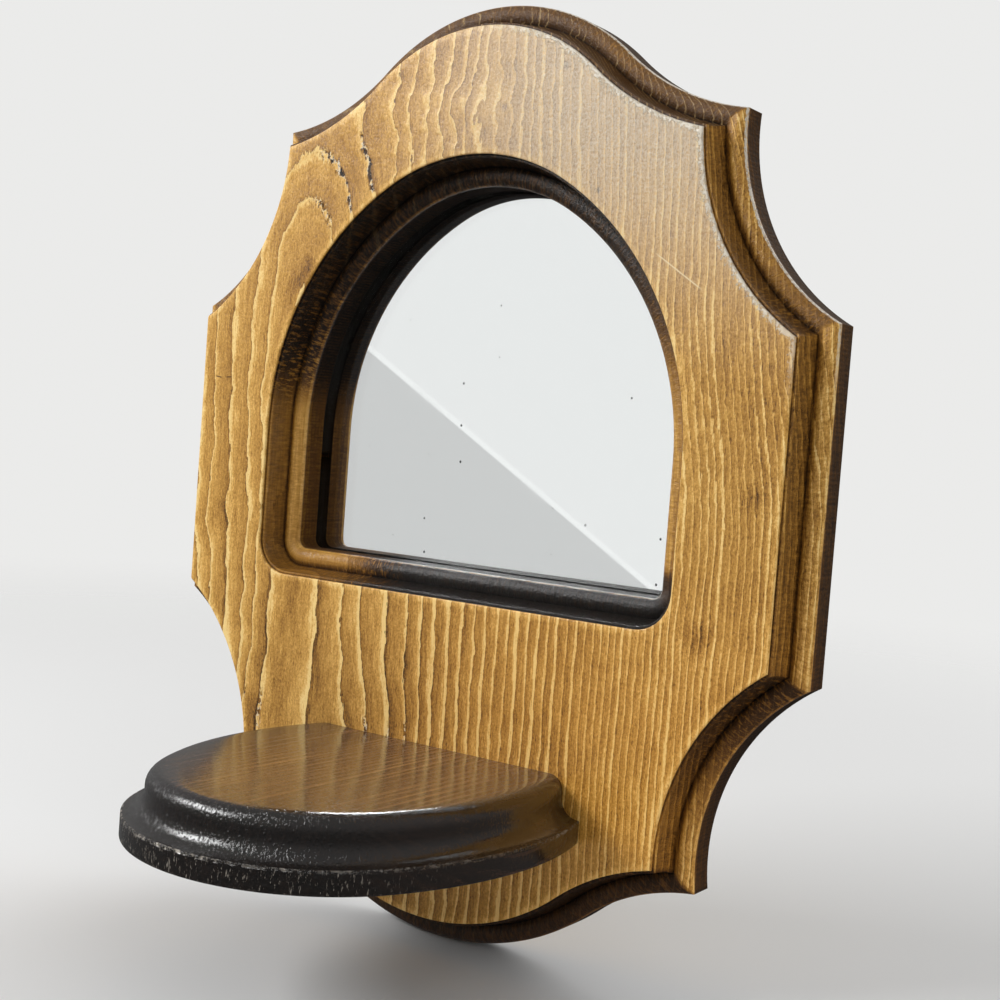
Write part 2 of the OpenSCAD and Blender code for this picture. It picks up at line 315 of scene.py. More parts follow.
def sweep(mesh: bmesh.types.BMesh, outline: Outline, section: Sequence[Station]) -> None:
    """Carries a section round the right half of an outline.

    Args:
        mesh: The mesh that the strips are added to.
        outline: The outline of the face.
        section: The edge's section.
    """
    along, across, tone, endwise = (mesh.verts.layers.float[name] for name in LAYERS)
    previous: list[bmesh.types.BMEdge] = []
    lengths: list[float] = []
    walked = 0.0
    for i, station in enumerate(section):
        chain = outline.draw(mesh, station.out, station.height)
        if not lengths:
            steps = [(b.co - a.co).length for a, b in zip(chain, chain[1:])]
            lengths = [sum(steps[:n]) for n in range(len(chain))]
            ways = [(b.co - a.co).normalized().x for a, b in zip(chain[:1] + chain, chain[1:] + chain[-1:])]
        walked += (station.place - section[i - 1].place).length if i else 0.0
        for vert, length, way in zip(chain, lengths, ways):
            vert[along], vert[across], vert[tone] = length * MM, walked * MM, station.tone
            vert[endwise] = abs(way)
        edges = [mesh.edges.get(pair) for pair in zip(chain, chain[1:])]
        if previous:
            bmesh.ops.bridge_loops(mesh, edges=previous + edges)
        previous = edges


def open_edges(mesh: bmesh.types.BMesh, height: float) -> list[bmesh.types.BMEdge]:
    """Open edges that lie at the height given."""
    level = [edge for edge in mesh.edges if len(edge.link_faces) < 2]
    return [edge for edge in level if all(abs(vert.co.z - height) < LEVEL for vert in edge.verts)]


def cap(mesh: bmesh.types.BMesh, height: float, upwards: bool) -> None:
    """Closes all that is open at one height with a flat face."""
    normal = (0, 0, 1 if upwards else -1)
    bmesh.ops.triangle_fill(mesh, use_beauty=True, edges=open_edges(mesh, height), normal=normal)


def bore(mesh: bmesh.types.BMesh, place: Vector, rings: Sequence[Triple]) -> None:
    """Adds the wall of a round hole.

    Args:
        mesh: The mesh that is bored.
        place: Place of the hole's axis.
        rings: Radius, height and way round the edge's section of each ring of the wall.
    """
    across = mesh.verts.layers.float["across"]
    radius, height, walked = rings[0]
    around = Matrix.Translation((*place, height))
    ring = bmesh.ops.create_circle(mesh, segments=HOLE_STEPS, radius=radius, matrix=around)["verts"]
    for vert in ring:
        vert[across] = walked * MM
    for next_radius, next_height, next_walked in rings[1:]:
        members = set(ring)
        edges = [edge for edge in mesh.edges if members.issuperset(edge.verts)]
        ring = [item for item in bmesh.ops.extrude_edge_only(mesh, edges=edges)["geom"]
                if isinstance(item, bmesh.types.BMVert)]
        bmesh.ops.translate(mesh, vec=(0, 0, next_height - height), verts=ring)
        bmesh.ops.scale(mesh, vec=(next_radius / radius, next_radius / radius, 1),
                        space=Matrix.Translation((*-place, 0)), verts=ring)
        for vert in ring:
            vert[across] = next_walked * MM
        radius, height = next_radius, next_height


def start_mesh() -> bmesh.types.BMesh:
    """An empty mesh with the layers that the wood's finish reads."""
    mesh = bmesh.new()
    for name in LAYERS:
        mesh.verts.layers.float.new(name)
    return mesh


def mirror_half(mesh: bmesh.types.BMesh) -> None:
    """Adds the left half and joins both halves on the centre line."""
    everything = mesh.verts[:] + mesh.edges[:] + mesh.faces[:]
    bmesh.ops.mirror(mesh, geom=everything, axis="X", merge_dist=0.0)
    bmesh.ops.remove_doubles(mesh, verts=mesh.verts, dist=WELD)


def kept(mesh: bmesh.types.BMesh, name: str) -> bpy.types.Mesh:
    """Turns a mesh under work into one that an object can hold, and frees it."""
    data = bpy.data.meshes.new(name)
    mesh.to_mesh(data)
    mesh.free()
    return data


def placed(name: str, data: bpy.types.ID) -> bpy.types.Object:
    """A new object in the scene."""
    piece = bpy.data.objects.new(name, data)
    bpy.context.scene.collection.objects.link(piece)
    return piece


def finish_with(piece: bpy.types.Object, finish: bpy.types.Material) -> None:
    """Gives a piece one finish, in place of any that it had."""
    piece.data.materials.clear()
    piece.data.materials.append(finish)


def piece_from(mesh: bmesh.types.BMesh, name: str, place: Matrix, sharp: float = 40.0) -> bpy.types.Object:
    """Turns a mesh into a piece of the object that rides on its body.

    Args:
        mesh: The finished mesh, which is freed.
        name: Name of the piece.
        place: Where the mesh goes in the frame, which is worked into its points.
        sharp: Angle in degrees past which an edge is shaded sharp.

    Returns:
        The new piece.
    """
    bmesh.ops.transform(mesh, matrix=place, verts=mesh.verts)
    bmesh.ops.recalc_face_normals(mesh, faces=mesh.faces)
    for face in mesh.faces:
        face.smooth = True
    for edge in mesh.edges:
        edge.smooth = edge.calc_face_angle(0.0) < math.radians(sharp)
    piece = placed(name, kept(mesh, name))
    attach(piece, BODY)
    return piece


# ---- Finishes ----

Value = bpy.types.NodeSocket | float


class Tree:
    """Shader nodes, with a short call for each kind of node."""

    def __init__(self, tree: bpy.types.NodeTree) -> None:
        """Starts with an empty tree."""
        self.nodes = tree.nodes
        self.links = tree.links
        self.nodes.clear()

    def feed(self, socket: bpy.types.NodeSocket, value: Value | Colour) -> None:
        """Links a socket, or sets its value."""
        if isinstance(value, bpy.types.NodeSocket):
            self.links.new(value, socket)
        elif isinstance(value, tuple) and len(value) == 3 and socket.type == "RGBA":
            socket.default_value = (*value, 1.0)
        else:
            socket.default_value = value

    def maths(self, operation: str, *values: Value, clamp: bool = False) -> bpy.types.NodeSocket:
        """Result of a Math node."""
        node = self.nodes.new("ShaderNodeMath")
        node.operation = operation
        node.use_clamp = clamp
        for socket, value in zip(node.inputs, values):
            self.feed(socket, value)
        return node.outputs[0]

    def vector(self, operation: str, first: Value, second: Value | Colour) -> bpy.types.NodeSocket:
        """Result of a Vector Math node; a scale takes a number as its second value."""
        node = self.nodes.new("ShaderNodeVectorMath")
        node.operation = operation
        self.feed(node.inputs[0], first)
        self.feed(node.inputs["Scale" if operation == "SCALE" else 1], second)
        return node.outputs["Value" if operation in ("DISTANCE", "LENGTH", "DOT_PRODUCT") else "Vector"]

    def split(self, vector: bpy.types.NodeSocket) -> tuple[bpy.types.NodeSocket, ...]:
        """The three parts of a vector."""
        node = self.nodes.new("ShaderNodeSeparateXYZ")
        self.feed(node.inputs[0], vector)
        return tuple(node.outputs)

    def joined(self, *parts: Value) -> bpy.types.NodeSocket:
        """A vector of three parts."""
        node = self.nodes.new("ShaderNodeCombineXYZ")
        for socket, value in zip(node.inputs, parts):
            self.feed(socket, value)
        return node.outputs[0]

    def noise(self, at: Value, pitch: Triple, detail: float = 2.0,
              rough: float = 0.5) -> bpy.types.NodeSocket:
        """Noise from 0 to 1 whose lumps are about as long as the pitch along each axis."""
        node = self.nodes.new("ShaderNodeTexNoise")
        self.feed(node.inputs["Vector"], self.vector("DIVIDE", at, pitch))
        self.feed(node.inputs["Scale"], 1.0)
        self.feed(node.inputs["Detail"], detail)
        self.feed(node.inputs["Roughness"], rough)
        return node.outputs[0]

    def remap(self, value: Value, low: float, high: float, start: float = 0.0, end: float = 1.0,
              smooth: bool = True) -> bpy.types.NodeSocket:
        """Carries the range from low to high over to start and end, and clamps it."""
        node = self.nodes.new("ShaderNodeMapRange")
        node.interpolation_type = "SMOOTHSTEP" if smooth else "LINEAR"
        for socket, number in zip(node.inputs, (value, low, high, start, end)):
            self.feed(socket, number)
        return node.outputs[0]

    def curve(self, value: Value, points: Sequence[Pair]) -> bpy.types.NodeSocket:
        """Smooth curve through points that start at zero and have no negative results."""
        node = self.nodes.new("ShaderNodeFloatCurve")
        line = node.mapping.curves[0]
        reach, top = points[-1][0], max(y for x, y in points)
        shares = [(x / reach, y / top) for x, y in points]
        line.points[0].location = shares[0]
        line.points[1].location = shares[-1]
        for share in shares[1:-1]:
            line.points.new(*share)
        node.mapping.update()
        self.feed(node.inputs["Value"], self.maths("DIVIDE", value, reach))
        return self.maths("MULTIPLY", node.outputs[0], top)

    def ramp(self, value: Value, stops: Sequence[tuple[float, Colour]]) -> bpy.types.NodeSocket:
        """Colour ramp through the stops."""
        node = self.nodes.new("ShaderNodeValToRGB")
        elements = node.color_ramp.elements
        while len(elements) < len(stops):
            elements.new(0.5)
        for element, (position, colour) in zip(elements, stops):
            element.position = position
            element.color = (*colour, 1.0)
        self.feed(node.inputs[0], value)
        return node.outputs[0]

    def mix(self, share: Value, first: Value | Colour, second: Value | Colour,
            blend: str = "MIX") -> bpy.types.NodeSocket:
        """Mixes two colours."""
        node = self.nodes.new("ShaderNodeMix")
        node.data_type = "RGBA"
        node.blend_type = blend
        for index, value in ((0, share), (6, first), (7, second)):
            self.feed(node.inputs[index], value)
        return node.outputs[2]

    def attribute(self, name: str) -> bpy.types.NodeSocket:
        """A number that the mesh carries."""
        node = self.nodes.new("ShaderNodeAttribute")
        node.attribute_name = name
        return node.outputs["Fac"]

    def facing(self) -> tuple[bpy.types.NodeSocket, ...]:
        """How far the surface faces along each axis, whatever the sign."""
        normal = self.nodes.new("ShaderNodeNewGeometry").outputs["Normal"]
        node = self.nodes.new("ShaderNodeVectorMath")
        node.operation = "ABSOLUTE"
        self.feed(node.inputs[0], normal)
        return self.split(node.outputs[0])

    def total(self, *values: Value) -> bpy.types.NodeSocket:
        """Sum of the values."""
        result = values[0]
        for value in values[1:]:
            result = self.maths("ADD", result, value)
        return result

    def product(self, *values: Value) -> bpy.types.NodeSocket:
        """Product of the values."""
        result = values[0]
        for value in values[1:]:
            result = self.maths("MULTIPLY", result, value)
        return result

    def between(self, share: Value, first: Value, second: Value) -> bpy.types.NodeSocket:
        """Number that lies at the share between two others."""
        return self.maths("MULTIPLY_ADD", share, self.maths("SUBTRACT", second, first), first)

    def swing(self, value: Value, reach: float) -> bpy.types.NodeSocket:
        """Turns noise from 0 to 1 into a swing of up to about the reach either way."""
        return self.maths("MULTIPLY", self.maths("SUBTRACT", value, 0.5), 3 * reach)

    def apart(self, first: Value, second: Value) -> bpy.types.NodeSocket:
        """How far two numbers lie apart."""
        return self.maths("ABSOLUTE", self.maths("SUBTRACT", first, second))


class Recipe(Tree):
    """Node tree of one finish, around one surface shader."""

    def __init__(self, name: str) -> None:
        """Starts a material with its surface shader."""
        self.material = bpy.data.materials.new(name)
        self.material.use_nodes = True
        super().__init__(self.material.node_tree)
        self.output = self.nodes.new("ShaderNodeOutputMaterial")
        self.shader = self.nodes.new("ShaderNodeBsdfPrincipled")
        self.links.new(self.shader.outputs[0], self.output.inputs["Surface"])
        place = self.nodes.new("ShaderNodeTexCoord").outputs["Object"]
        self.place = self.vector("SCALE", place, 1 / MM)

    def surface(self, **settings: Value | Colour) -> None:
        """Sets sockets of the surface shader; an underscore in a name stands for a space."""
        for name, value in settings.items():
            self.feed(self.shader.inputs[name.replace("_", " ").title().replace("Ior", "IOR")], value)

    def relief(self, height: Value) -> None:
        """Bumps the surface by a height in millimetres."""
        node = self.nodes.new("ShaderNodeBump")
        self.feed(node.inputs["Strength"], 1.0)
        self.feed(node.inputs["Distance"], MM)
        self.feed(node.inputs["Height"], height)
        self.links.new(node.outputs[0], self.shader.inputs["Normal"])
        self.links.new(node.outputs[0], self.shader.inputs["Coat Normal"])

    def walked(self) -> bpy.types.NodeSocket:
        """Way round the edge's section from its first station, in millimetres."""
        return self.maths("DIVIDE", self.attribute("across"), MM)

    def strokes(self, along: float, across: float, detail: float, rough: float) -> bpy.types.NodeSocket:
        """Noise of the cutter's strokes, laid out by the way along an edge and round its section.

        Args:
            along: Length of its lumps along the edge, in millimetres.
            across: Their length round the section, in millimetres.
            detail: Number of finer layers.
            rough: Share of itself that each layer passes on to the next finer one.

        Returns:
            The noise, from 0 to 1.
        """
        halves_apart = self.product(self.split(self.place)[0], 0.2)
        around = self.joined(self.maths("DIVIDE", self.attribute("along"), along * MM),
                             self.maths("DIVIDE", self.attribute("across"), across * MM), halves_apart)
        return self.noise(around, (1.0, 1.0, 1.0), detail, rough)


@dataclass(frozen=True)
class Knot:
    """A knot, scar or torn patch on the face."""

    across: float
    up: float
    radius: float
    push: float = 0.0  # how far it pushes the rings aside, in millimetres
    dark: float = 0.0  # how much stain it has taken up
    torn: float = 0.0  # how much of the rings' edges is torn out round it


@dataclass(frozen=True)
class Scratch:
    """A fine straight mark on the face, from one place to another."""

    start: Pair
    end: Pair
    colour: Colour
    wide: float = 0.35


@dataclass(frozen=True)
class Reading:
    """What the board's recipe reads at a point: its place, its part of the board, and noises."""

    across: Value
    deep: Value
    up: Value
    walked: Value  # way round the edge's section
    inside: Value  # 1 at the opening, 0 elsewhere
    routed: Value  # 1 on the routed edge, 0 on the face and the back
    phase: Value  # place in the ring
    fibre: Value  # fine noise along the fibres
    fuzz: Value  # fine noise
    blotch: Value  # noise of small patches
    strokes: Value  # noise of the cutter's strokes


@dataclass(frozen=True)
class StainedPine:
    """Stained and lacquered pine of the board: cathedral grain on the left, straight on the right."""

    face_deep: float = -26.0
    back_deep: float = -7.0
    arch_middle: Triple = (0.0, -26.0, -85.0)
    stain: tuple[tuple[float, Colour], ...] = (
        (0.0, paint(18, 12, 7)),
        (0.2, paint(92, 59, 19)),
        (0.4, paint(155, 108, 40)),
        (0.6, paint(194, 144, 64)),
        (0.8, paint(228, 178, 94)),
        (1.0, paint(252, 216, 140)),
    )
    # Pale of the worn arrises, also laid over them as painted sheen.
    worn: Colour = paint(226, 216, 198)
    # Grey of the painted sheen over the upper right of the face.
    dust: Colour = paint(206, 196, 178)
    end_line: Colour = paint(184, 152, 102)
    warmth: Colour = (1.03, 0.94, 0.8)
    bare: Colour = paint(226, 199, 154)
    bare_line: Colour = paint(186, 140, 88)
    pith_across: float = -62.0
    knots: tuple[Knot, ...] = (
        Knot(-91.0, -136.5, 9.0, 3.0, 0.12),
        Knot(-45.0, -208.0, 24.0, 9.0),
        Knot(4.0, -6.5, 10.0, 4.0, -0.16),
        Knot(9.0, -8.7, 2.0, 0.0, 0.3),
        Knot(29.0, 2.0, 2.0, 0.0, 0.3),
        Knot(42.6, -33.3, 1.3, 0.0, 0.4),
        Knot(84.0, -153.0, 7.0, 0.5, 0.16),
        Knot(97.0, -114.0, 5.5, 0.4, 0.16),
        Knot(-73.0, -199.0, 9.0, 2.5, 0.12, 0.7),
        Knot(-48.0, -28.0, 17.0, 0.0, 0.0, 1.0),
        Knot(-29.0, -198.0, 6.0, 0.0, 0.0, 0.9),
        Knot(-13.0, -197.0, 6.0, 0.0, 0.0, 0.7),
    )
    scratches: tuple[Scratch, ...] = (
        Scratch((61.2, -49.9), (78.2, -61.0), paint(236, 214, 170)),
        Scratch((-99.5, -91.4), (-96.5, -91.8), paint(70, 44, 22)),
        Scratch((-94.8, -91.6), (-92.0, -91.4), paint(70, 44, 22)),
    )
    # Where the opening's mask fades in: beside the board's middle line, at its foot, from its straight
    # sides to its arch, and by the distance from the arch's middle.
    opening_side: Pair = (80.0, 78.0)
    opening_foot: Pair = (-157.0, -155.0)
    opening_spring: Pair = (-100.0, -90.0)
    opening_arch: Pair = (84.0, 80.0)
    # Where parts of the edge fade in or out, by the way round its section.
    plain_face: Pair = (1.2, 0.2)
    face_end: Pair = (2.6, 3.2)
    past_arris: Pair = (2.5, 3.3)
    past_bead: Pair = (19.6, 20.6)
    fur_end: Pair = (20.4, 19.4)
    lines_end: Pair = (20.4, 19.8)
    back_rim: Pair = (30.6, 29.6)
    bare_from: Pair = (29.4, 30.6)
    square_middle: float = 24.4
    square_half: Pair = (4.4, 3.6)
    saw_pitch: float = 1.1
    glass_fade: float = 1.0
    # The rings: how far the pith leans and how deep it lies at each height above the foot, the number
    # of rings at each distance from it, and the lightness through a wide ring and a narrow one.
    foot_down: float = 260.0
    lean_at: tuple[Pair, ...] = ((0, 6), (90, 3), (130, 1), (238, 0), (262, 8), (300, 22))
    pith_at: tuple[Pair, ...] = ((0, 3), (100, 3), (130, 2), (155, 3), (185, 7.5), (205, 10.5),
                                 (227, 16.5), (242, 22.3), (300, 44))
    rings_at: tuple[Pair, ...] = ((0, 0), (9.5, 1), (16.5, 2), (22.3, 3), (30.2, 4), (37.5, 5),
                                  (43.5, 6), (48.5, 7), (59, 9), (99.5, 19.8), (114.5, 25.8), (240, 82.9))
    wide_ring: tuple[Pair, ...] = ((0, 0.3), (0.02, 0.33), (0.09, 0.46), (0.35, 0.53), (0.65, 0.6),
                                   (0.82, 0.67), (0.91, 0.84), (1.0, 0.94))
    narrow_ring: tuple[Pair, ...] = ((0, 0.38), (0.2, 0.47), (0.55, 0.55), (0.74, 0.64), (0.87, 0.92),
                                     (1.0, 0.82))
    # Share of the light that the edge's section keeps, from the face round to the back.
    edge_light: tuple[Pair, ...] = (
        (0, 1.0), (2.2, 1.0), (2.8, 1.0), (3.3, 0.56), (4.3, 0.76), (5.4, 0.6), (9.0, 0.56), (11.6, 0.52),
        (13.1, 0.44), (14.4, 0.66), (16.2, 1.02), (18.8, 1.0), (19.7, 1.0), (20.4, 0.28), (24.0, 0.18),
        (28.0, 0.18), (28.8, 0.5), (30.0, 0.9), (32.0, 1.0))

    def grain(self, mix: Recipe, teeth: bpy.types.NodeSocket) -> bpy.types.NodeSocket:
        """Number of rings between the pith and a point of the board.

        Args:
            mix: The recipe that it is part of.
            teeth: Fine noise that frays the rings along the fibres.

        Returns:
            The number, whose whole part is the ring's and whose rest is the place in the ring.
        """
        across, deep, up = mix.split(mix.place)
        left = mix.remap(across, 60.0, -40.0)
        drift = mix.noise(mix.place, (45.0, 45.0, 60.0), 1.0)
        ripple = mix.noise(mix.place, (9.0, 9.0, 13.0), 3.0, 0.6)
        sway = mix.product(mix.maths("SUBTRACT", drift, 0.5), mix.remap(left, 0, 1, 3.0, 6.0))
        crown = mix.product(mix.remap(up, -42.0, -8.0), mix.remap(across, 50.0, 20.0))
        shiver = mix.product(mix.maths("SUBTRACT", ripple, 0.5), mix.remap(left, 0, 1, 1.6, 5.0),
                             mix.remap(crown, 0.0, 1.0, 1.0, 2.3))
        frayed = mix.product(mix.maths("SUBTRACT", teeth, 0.5), 8.0)
        jagged = mix.product(mix.maths("SUBTRACT", teeth, 0.5), mix.remap(left, 0, 1, 0.7, 1.4))
        lean_in = mix.total(mix.remap(across, -20.0, 60.0, 0.0, 0.6), mix.remap(up, -30.0, 0.0, 0.0, 0.8))
        slant = mix.product(mix.total(deep, -self.face_deep), lean_in)
        away = mix.total(across, sway, shiver, jagged, slant, -self.pith_across)
        for knot in self.knots:
            if not knot.push:
                continue
            gap = mix.vector("DISTANCE", mix.place, (knot.across, self.face_deep, knot.up))
            beside = mix.maths("SUBTRACT", across, knot.across)
            shift = mix.maths("MULTIPLY", beside, -knot.push / knot.radius)
            away = mix.maths("MULTIPLY_ADD", shift, mix.remap(gap, knot.radius * 2, 0.0), away)
        height = mix.total(up, frayed, self.foot_down)
        lean = mix.curve(height, self.lean_at)
        pith_deep = mix.curve(height, self.pith_at)
        wider = mix.product(mix.remap(away, 0.0, 46.0), mix.remap(height, 200.0, 130.0, 0.0, 9.0))
        away = mix.total(away, mix.product(lean, left, -1.0), mix.product(wider, -1.0))
        deep_away = mix.total(deep, pith_deep, -self.face_deep)
        radius = mix.vector("LENGTH", mix.joined(away, deep_away, 0.0), (0, 0, 0))
        return mix.curve(radius, self.rings_at)

    def ring_tone(self, mix: Recipe, rings: bpy.types.NodeSocket) -> bpy.types.NodeSocket:
        """Lightness that the rings give: brown after each boundary, then up to a light strip.

        Args:
            mix: The recipe that it is part of.
            rings: Number of rings from the pith.

        Returns:
            The lightness, from 0 to 1.
        """
        across, _, up = mix.split(mix.place)
        phase = mix.maths("FRACT", rings)
        each = mix.nodes.new("ShaderNodeTexWhiteNoise")
        each.noise_dimensions = "1D"
        mix.feed(each.inputs["W"], mix.maths("FLOOR", rings))
        run = mix.joined(mix.product(rings, 7.0), 0.0, mix.product(up, 0.06))
        streak = mix.noise(run, (1, 1, 1), 3.0, 0.6)
        patch = mix.noise(mix.place, (5.0, 5.0, 24.0), 2.0, 0.6)
        window = mix.product(phase, mix.maths("SUBTRACT", 1.0, phase), 4.0)
        unevenness = mix.total(mix.swing(streak, 0.22), mix.swing(patch, 0.2),
                               mix.remap(each.outputs[0], 0, 1, -0.1, 0.1))
        shifted = mix.total(phase, mix.product(window, unevenness))
        shifted = mix.maths("ADD", shifted, 0.0, clamp=True)
        wide = mix.curve(shifted, self.wide_ring)
        narrow = mix.curve(shifted, self.narrow_ring)
        narrow = mix.between(mix.remap(each.outputs[0], 0.0, 1.0, 0.5, 1.0), 0.57, narrow)
        tone = mix.between(mix.remap(across, 10.0, -20.0), narrow, wide)
        inner = mix.product(mix.remap(rings, 1.2, 0.4), mix.remap(up, -120.0, -90.0), 0.1)
        lower = mix.remap(up, -120.0, -165.0, 0.05, 0.06)
        rest = mix.maths("SUBTRACT", 1.0, shifted)
        dusk = mix.product(rest, rest, mix.remap(up, -120.0, -165.0, 0.0, -0.12),
                           mix.remap(across, 20.0, -20.0, 0.4, 1.0))
        glow = mix.product(mix.remap(shifted, 0.72, 0.92, 0.0, 0.11), mix.remap(up, -120.0, -165.0),
                           mix.remap(across, -60.0, -20.0), mix.remap(across, 60.0, 20.0))
        return mix.total(tone, inner, lower, dusk, glow, mix.swing(streak, 0.1))

    def opening(self, mix: Recipe, across: Value, up: Value) -> bpy.types.NodeSocket:
        """How far a point belongs to the arched opening, from 0 to 1."""
        beside = mix.maths("ABSOLUTE", across)
        below = mix.product(mix.remap(beside, *self.opening_side), mix.remap(up, *self.opening_foot))
        above = mix.remap(mix.vector("DISTANCE", mix.place, self.arch_middle), *self.opening_arch)
        return mix.between(mix.remap(up, *self.opening_spring), below, above)

    def read(self, mix: Recipe, rings: bpy.types.NodeSocket) -> Reading:
        """Reads what the parts of the recipe share.

        Args:
            mix: The recipe that it is part of.
            rings: Number of rings from the pith.

        Returns:
            The reading.
        """
        across, deep, up = mix.split(mix.place)
        walked = mix.walked()
        return Reading(
            across, deep, up, walked,
            inside=self.opening(mix, across, up),
            routed=mix.product(mix.remap(walked, *self.face_end), mix.remap(walked, *self.back_rim)),
            phase=mix.maths("FRACT", rings),
            fibre=mix.noise(mix.place, (0.35, 0.35, 6.0), 3.0, 0.65),
            fuzz=mix.noise(mix.place, (0.65, 0.65, 0.9), 3.0, 0.75),
            blotch=mix.noise(mix.place, (3.5, 3.5, 6.0), 3.0, 0.65),
            strokes=mix.strokes(0.8, 3.4, 3.0, 0.7))

    def gap(self, mix: Recipe, knot: Knot, fuzz: Value) -> bpy.types.NodeSocket:
        """Distance from the middle of a knot, made uneven by fine noise."""
        gap = mix.vector("DISTANCE", mix.place, (knot.across, self.face_deep, knot.up))
        return mix.total(gap, mix.swing(fuzz, knot.radius * 0.3))

    def flat_tone(self, mix: Recipe, at: Reading, rings: bpy.types.NodeSocket) -> Value:
        """Lightness of planed wood, with the stain that its knots have taken up and painted light on its
        left.

        Args:
            mix: The recipe that it is part of.
            at: The reading.
            rings: Number of rings from the pith.

        Returns:
            The lightness.
        """
        cloud = mix.noise(mix.place, (28.0, 28.0, 50.0), 3.0, 0.55)
        flecks = mix.noise(mix.place, (0.45, 0.45, 1.8), 2.0, 0.6)
        tone = mix.total(self.ring_tone(mix, rings), mix.swing(at.fibre, 0.14), mix.swing(at.fuzz, 0.26),
                         mix.swing(at.blotch, 0.09), mix.swing(cloud, 0.12),
                         # painted light: the left third lighter, where the light falls from the left
                         mix.remap(at.across, -40, -90, 0.0, 0.03),
                         mix.remap(flecks, 0.56, 0.68, 0.0, -0.16))
        for knot in self.knots:
            if knot.dark:
                taken_up = mix.remap(self.gap(mix, knot, at.fuzz), knot.radius, 0.0)
                tone = mix.total(tone, mix.product(taken_up, -knot.dark))
        return tone

    def torn_places(self, mix: Recipe, at: Reading) -> tuple[Value, Value]:
        """Places on the face where the edges of the rings are torn out.

        Args:
            mix: The recipe that it is part of.
            at: The reading.

        Returns:
            Masks of the pits and of the pale rims beside them.
        """
        tears = mix.noise(mix.place, (1.9, 1.9, 2.6), 3.0, 0.65)
        seam = mix.remap(mix.apart(at.phase, 0.97), 0.2, 0.05)
        pits, rims = 0.0, 0.0
        for knot in self.knots:
            if not knot.torn:
                continue
            around = mix.remap(self.gap(mix, knot, at.fuzz), knot.radius, knot.radius * 0.6)
            near = mix.product(around, seam, knot.torn)
            pits = mix.total(pits, mix.product(near, mix.remap(tears, 0.5, 0.52)))
            rims = mix.total(rims, mix.product(near, mix.remap(tears, 0.44, 0.47),
                                               mix.remap(tears, 0.51, 0.5)))
        plain = mix.remap(at.walked, *self.plain_face)
        return mix.product(pits, plain), mix.product(rims, plain)

    def routed_tone(self, mix: Recipe, at: Reading, flat: Value) -> tuple[Value, Value]:
        """Lightness of the routed edge: painted light and shade round its section and in the opening, and
        more stain where the fibres end.

        Args:
            mix: The recipe that it is part of.
            at: The reading.
            flat: Lightness of planed wood.

        Returns:
            The lightness, and the share of end grain from 0 to 1, which also carries the painted shade high
            in the opening.
        """
        # Painted light and shade round the section, after edge_light; the square wall inside the opening,
        # out of the shadow, is lighter.
        side = mix.curve(at.walked, self.edge_light)
        side = mix.total(side, mix.product(at.inside, mix.remap(at.walked, *self.past_bead), 0.16))
        left = mix.remap(at.across, 20.0, -20.0, 0.35, 1.0)
        # Painted shade: the upper opening, most on its left, where the arch shades the inner wall; it
        # darkens like end grain.
        arch_shade = mix.product(at.inside, mix.remap(at.up, -122.0, -74.0, 0.0, 0.8), left)
        sill = mix.product(mix.remap(at.up, -125.0, -145.0), mix.remap(at.across, -20.0, -58.0, 0.0, -0.6))
        lower = mix.product(mix.remap(at.inside, 1.0, 0.0), mix.remap(at.up, -100.0, -160.0, 0.0, 0.22))
        open_ends = mix.total(mix.attribute("endwise"), mix.swing(at.strokes, 0.42),
                              mix.swing(at.fuzz, 0.1), arch_shade, mix.product(at.inside, sill), lower)
        past_arris = mix.remap(at.walked, *self.past_arris)
        end = mix.product(mix.remap(open_ends, 0.34, 0.92), past_arris)
        outside = mix.remap(at.up, -120.0, -175.0, 0.15, 0.06)
        shade = mix.total(mix.between(at.inside, outside, 0.02), mix.swing(at.fuzz, 0.05))
        dark = mix.product(shade, mix.total(0.45, side))
        lengthwise = mix.joined(mix.product(mix.attribute("along"), 1 / (16 * MM)),
                                mix.product(at.walked, 1.2), 0.0)
        run = mix.swing(mix.noise(lengthwise, (1.0, 1.0, 1.0), 3.0, 0.7), 0.16)
        calm = mix.product(at.inside, past_arris, 0.7)
        flat = mix.total(mix.between(calm, flat, 0.56), mix.product(run, past_arris))
        return mix.between(end, mix.product(flat, side), dark), end

    def cut_tone(self, mix: Recipe, at: Reading, tone: Value, end: Value, pooled: Value) -> Value:
        """Lightness once the cutter's strokes and the raised fibres of the end grain show.

        Args:
            mix: The recipe that it is part of.
            at: The reading.
            tone: Lightness before.
            end: Share of end grain.
            pooled: Where the lacquer has pooled.

        Returns:
            The lightness.
        """
        tone = mix.product(tone, mix.remap(pooled, 0.0, 1.0, 1.0, 0.15))
        tone = mix.total(tone, mix.product(mix.swing(at.strokes, 0.26), at.routed, mix.total(tone, 0.2)))
        outer_fur = mix.product(mix.remap(at.up, -20.0, -70.0, 0.02, 0.2),
                                mix.remap(at.up, -238.0, -205.0, 0.25, 1.0))
        fur = mix.between(at.inside, outer_fur, mix.remap(at.up, -45.0, -95.0, 0.08, 0.36))
        raised = mix.product(mix.remap(at.strokes, 0.48, 0.62), fur, end,
                             mix.remap(at.walked, *self.fur_end), mix.remap(pooled, 1.0, 0.0))
        return mix.total(tone, raised)

    def end_lines(self, mix: Recipe, at: Reading, end: Value) -> Value:
        """Pale lines that the rings draw across the end grain of the outer edge.

        Args:
            mix: The recipe that it is part of.
            at: The reading.
            end: Share of end grain.

        Returns:
            A mask from 0 to 1.
        """
        patch = mix.noise(mix.place, (7.0, 7.0, 4.0), 2.0)
        return mix.product(mix.remap(mix.apart(at.phase, 0.9), 0.1, 0.03), end,
                           mix.remap(at.fuzz, 0.32, 0.52, 0.1, 1.0), mix.remap(patch, 0.34, 0.58, 0.0, 0.9),
                           mix.remap(at.walked, *self.lines_end), mix.remap(at.inside, 0.0, 1.0, 1.0, 0.12),
                           mix.remap(at.up, -80.0, -30.0, 0.1, 1.0))

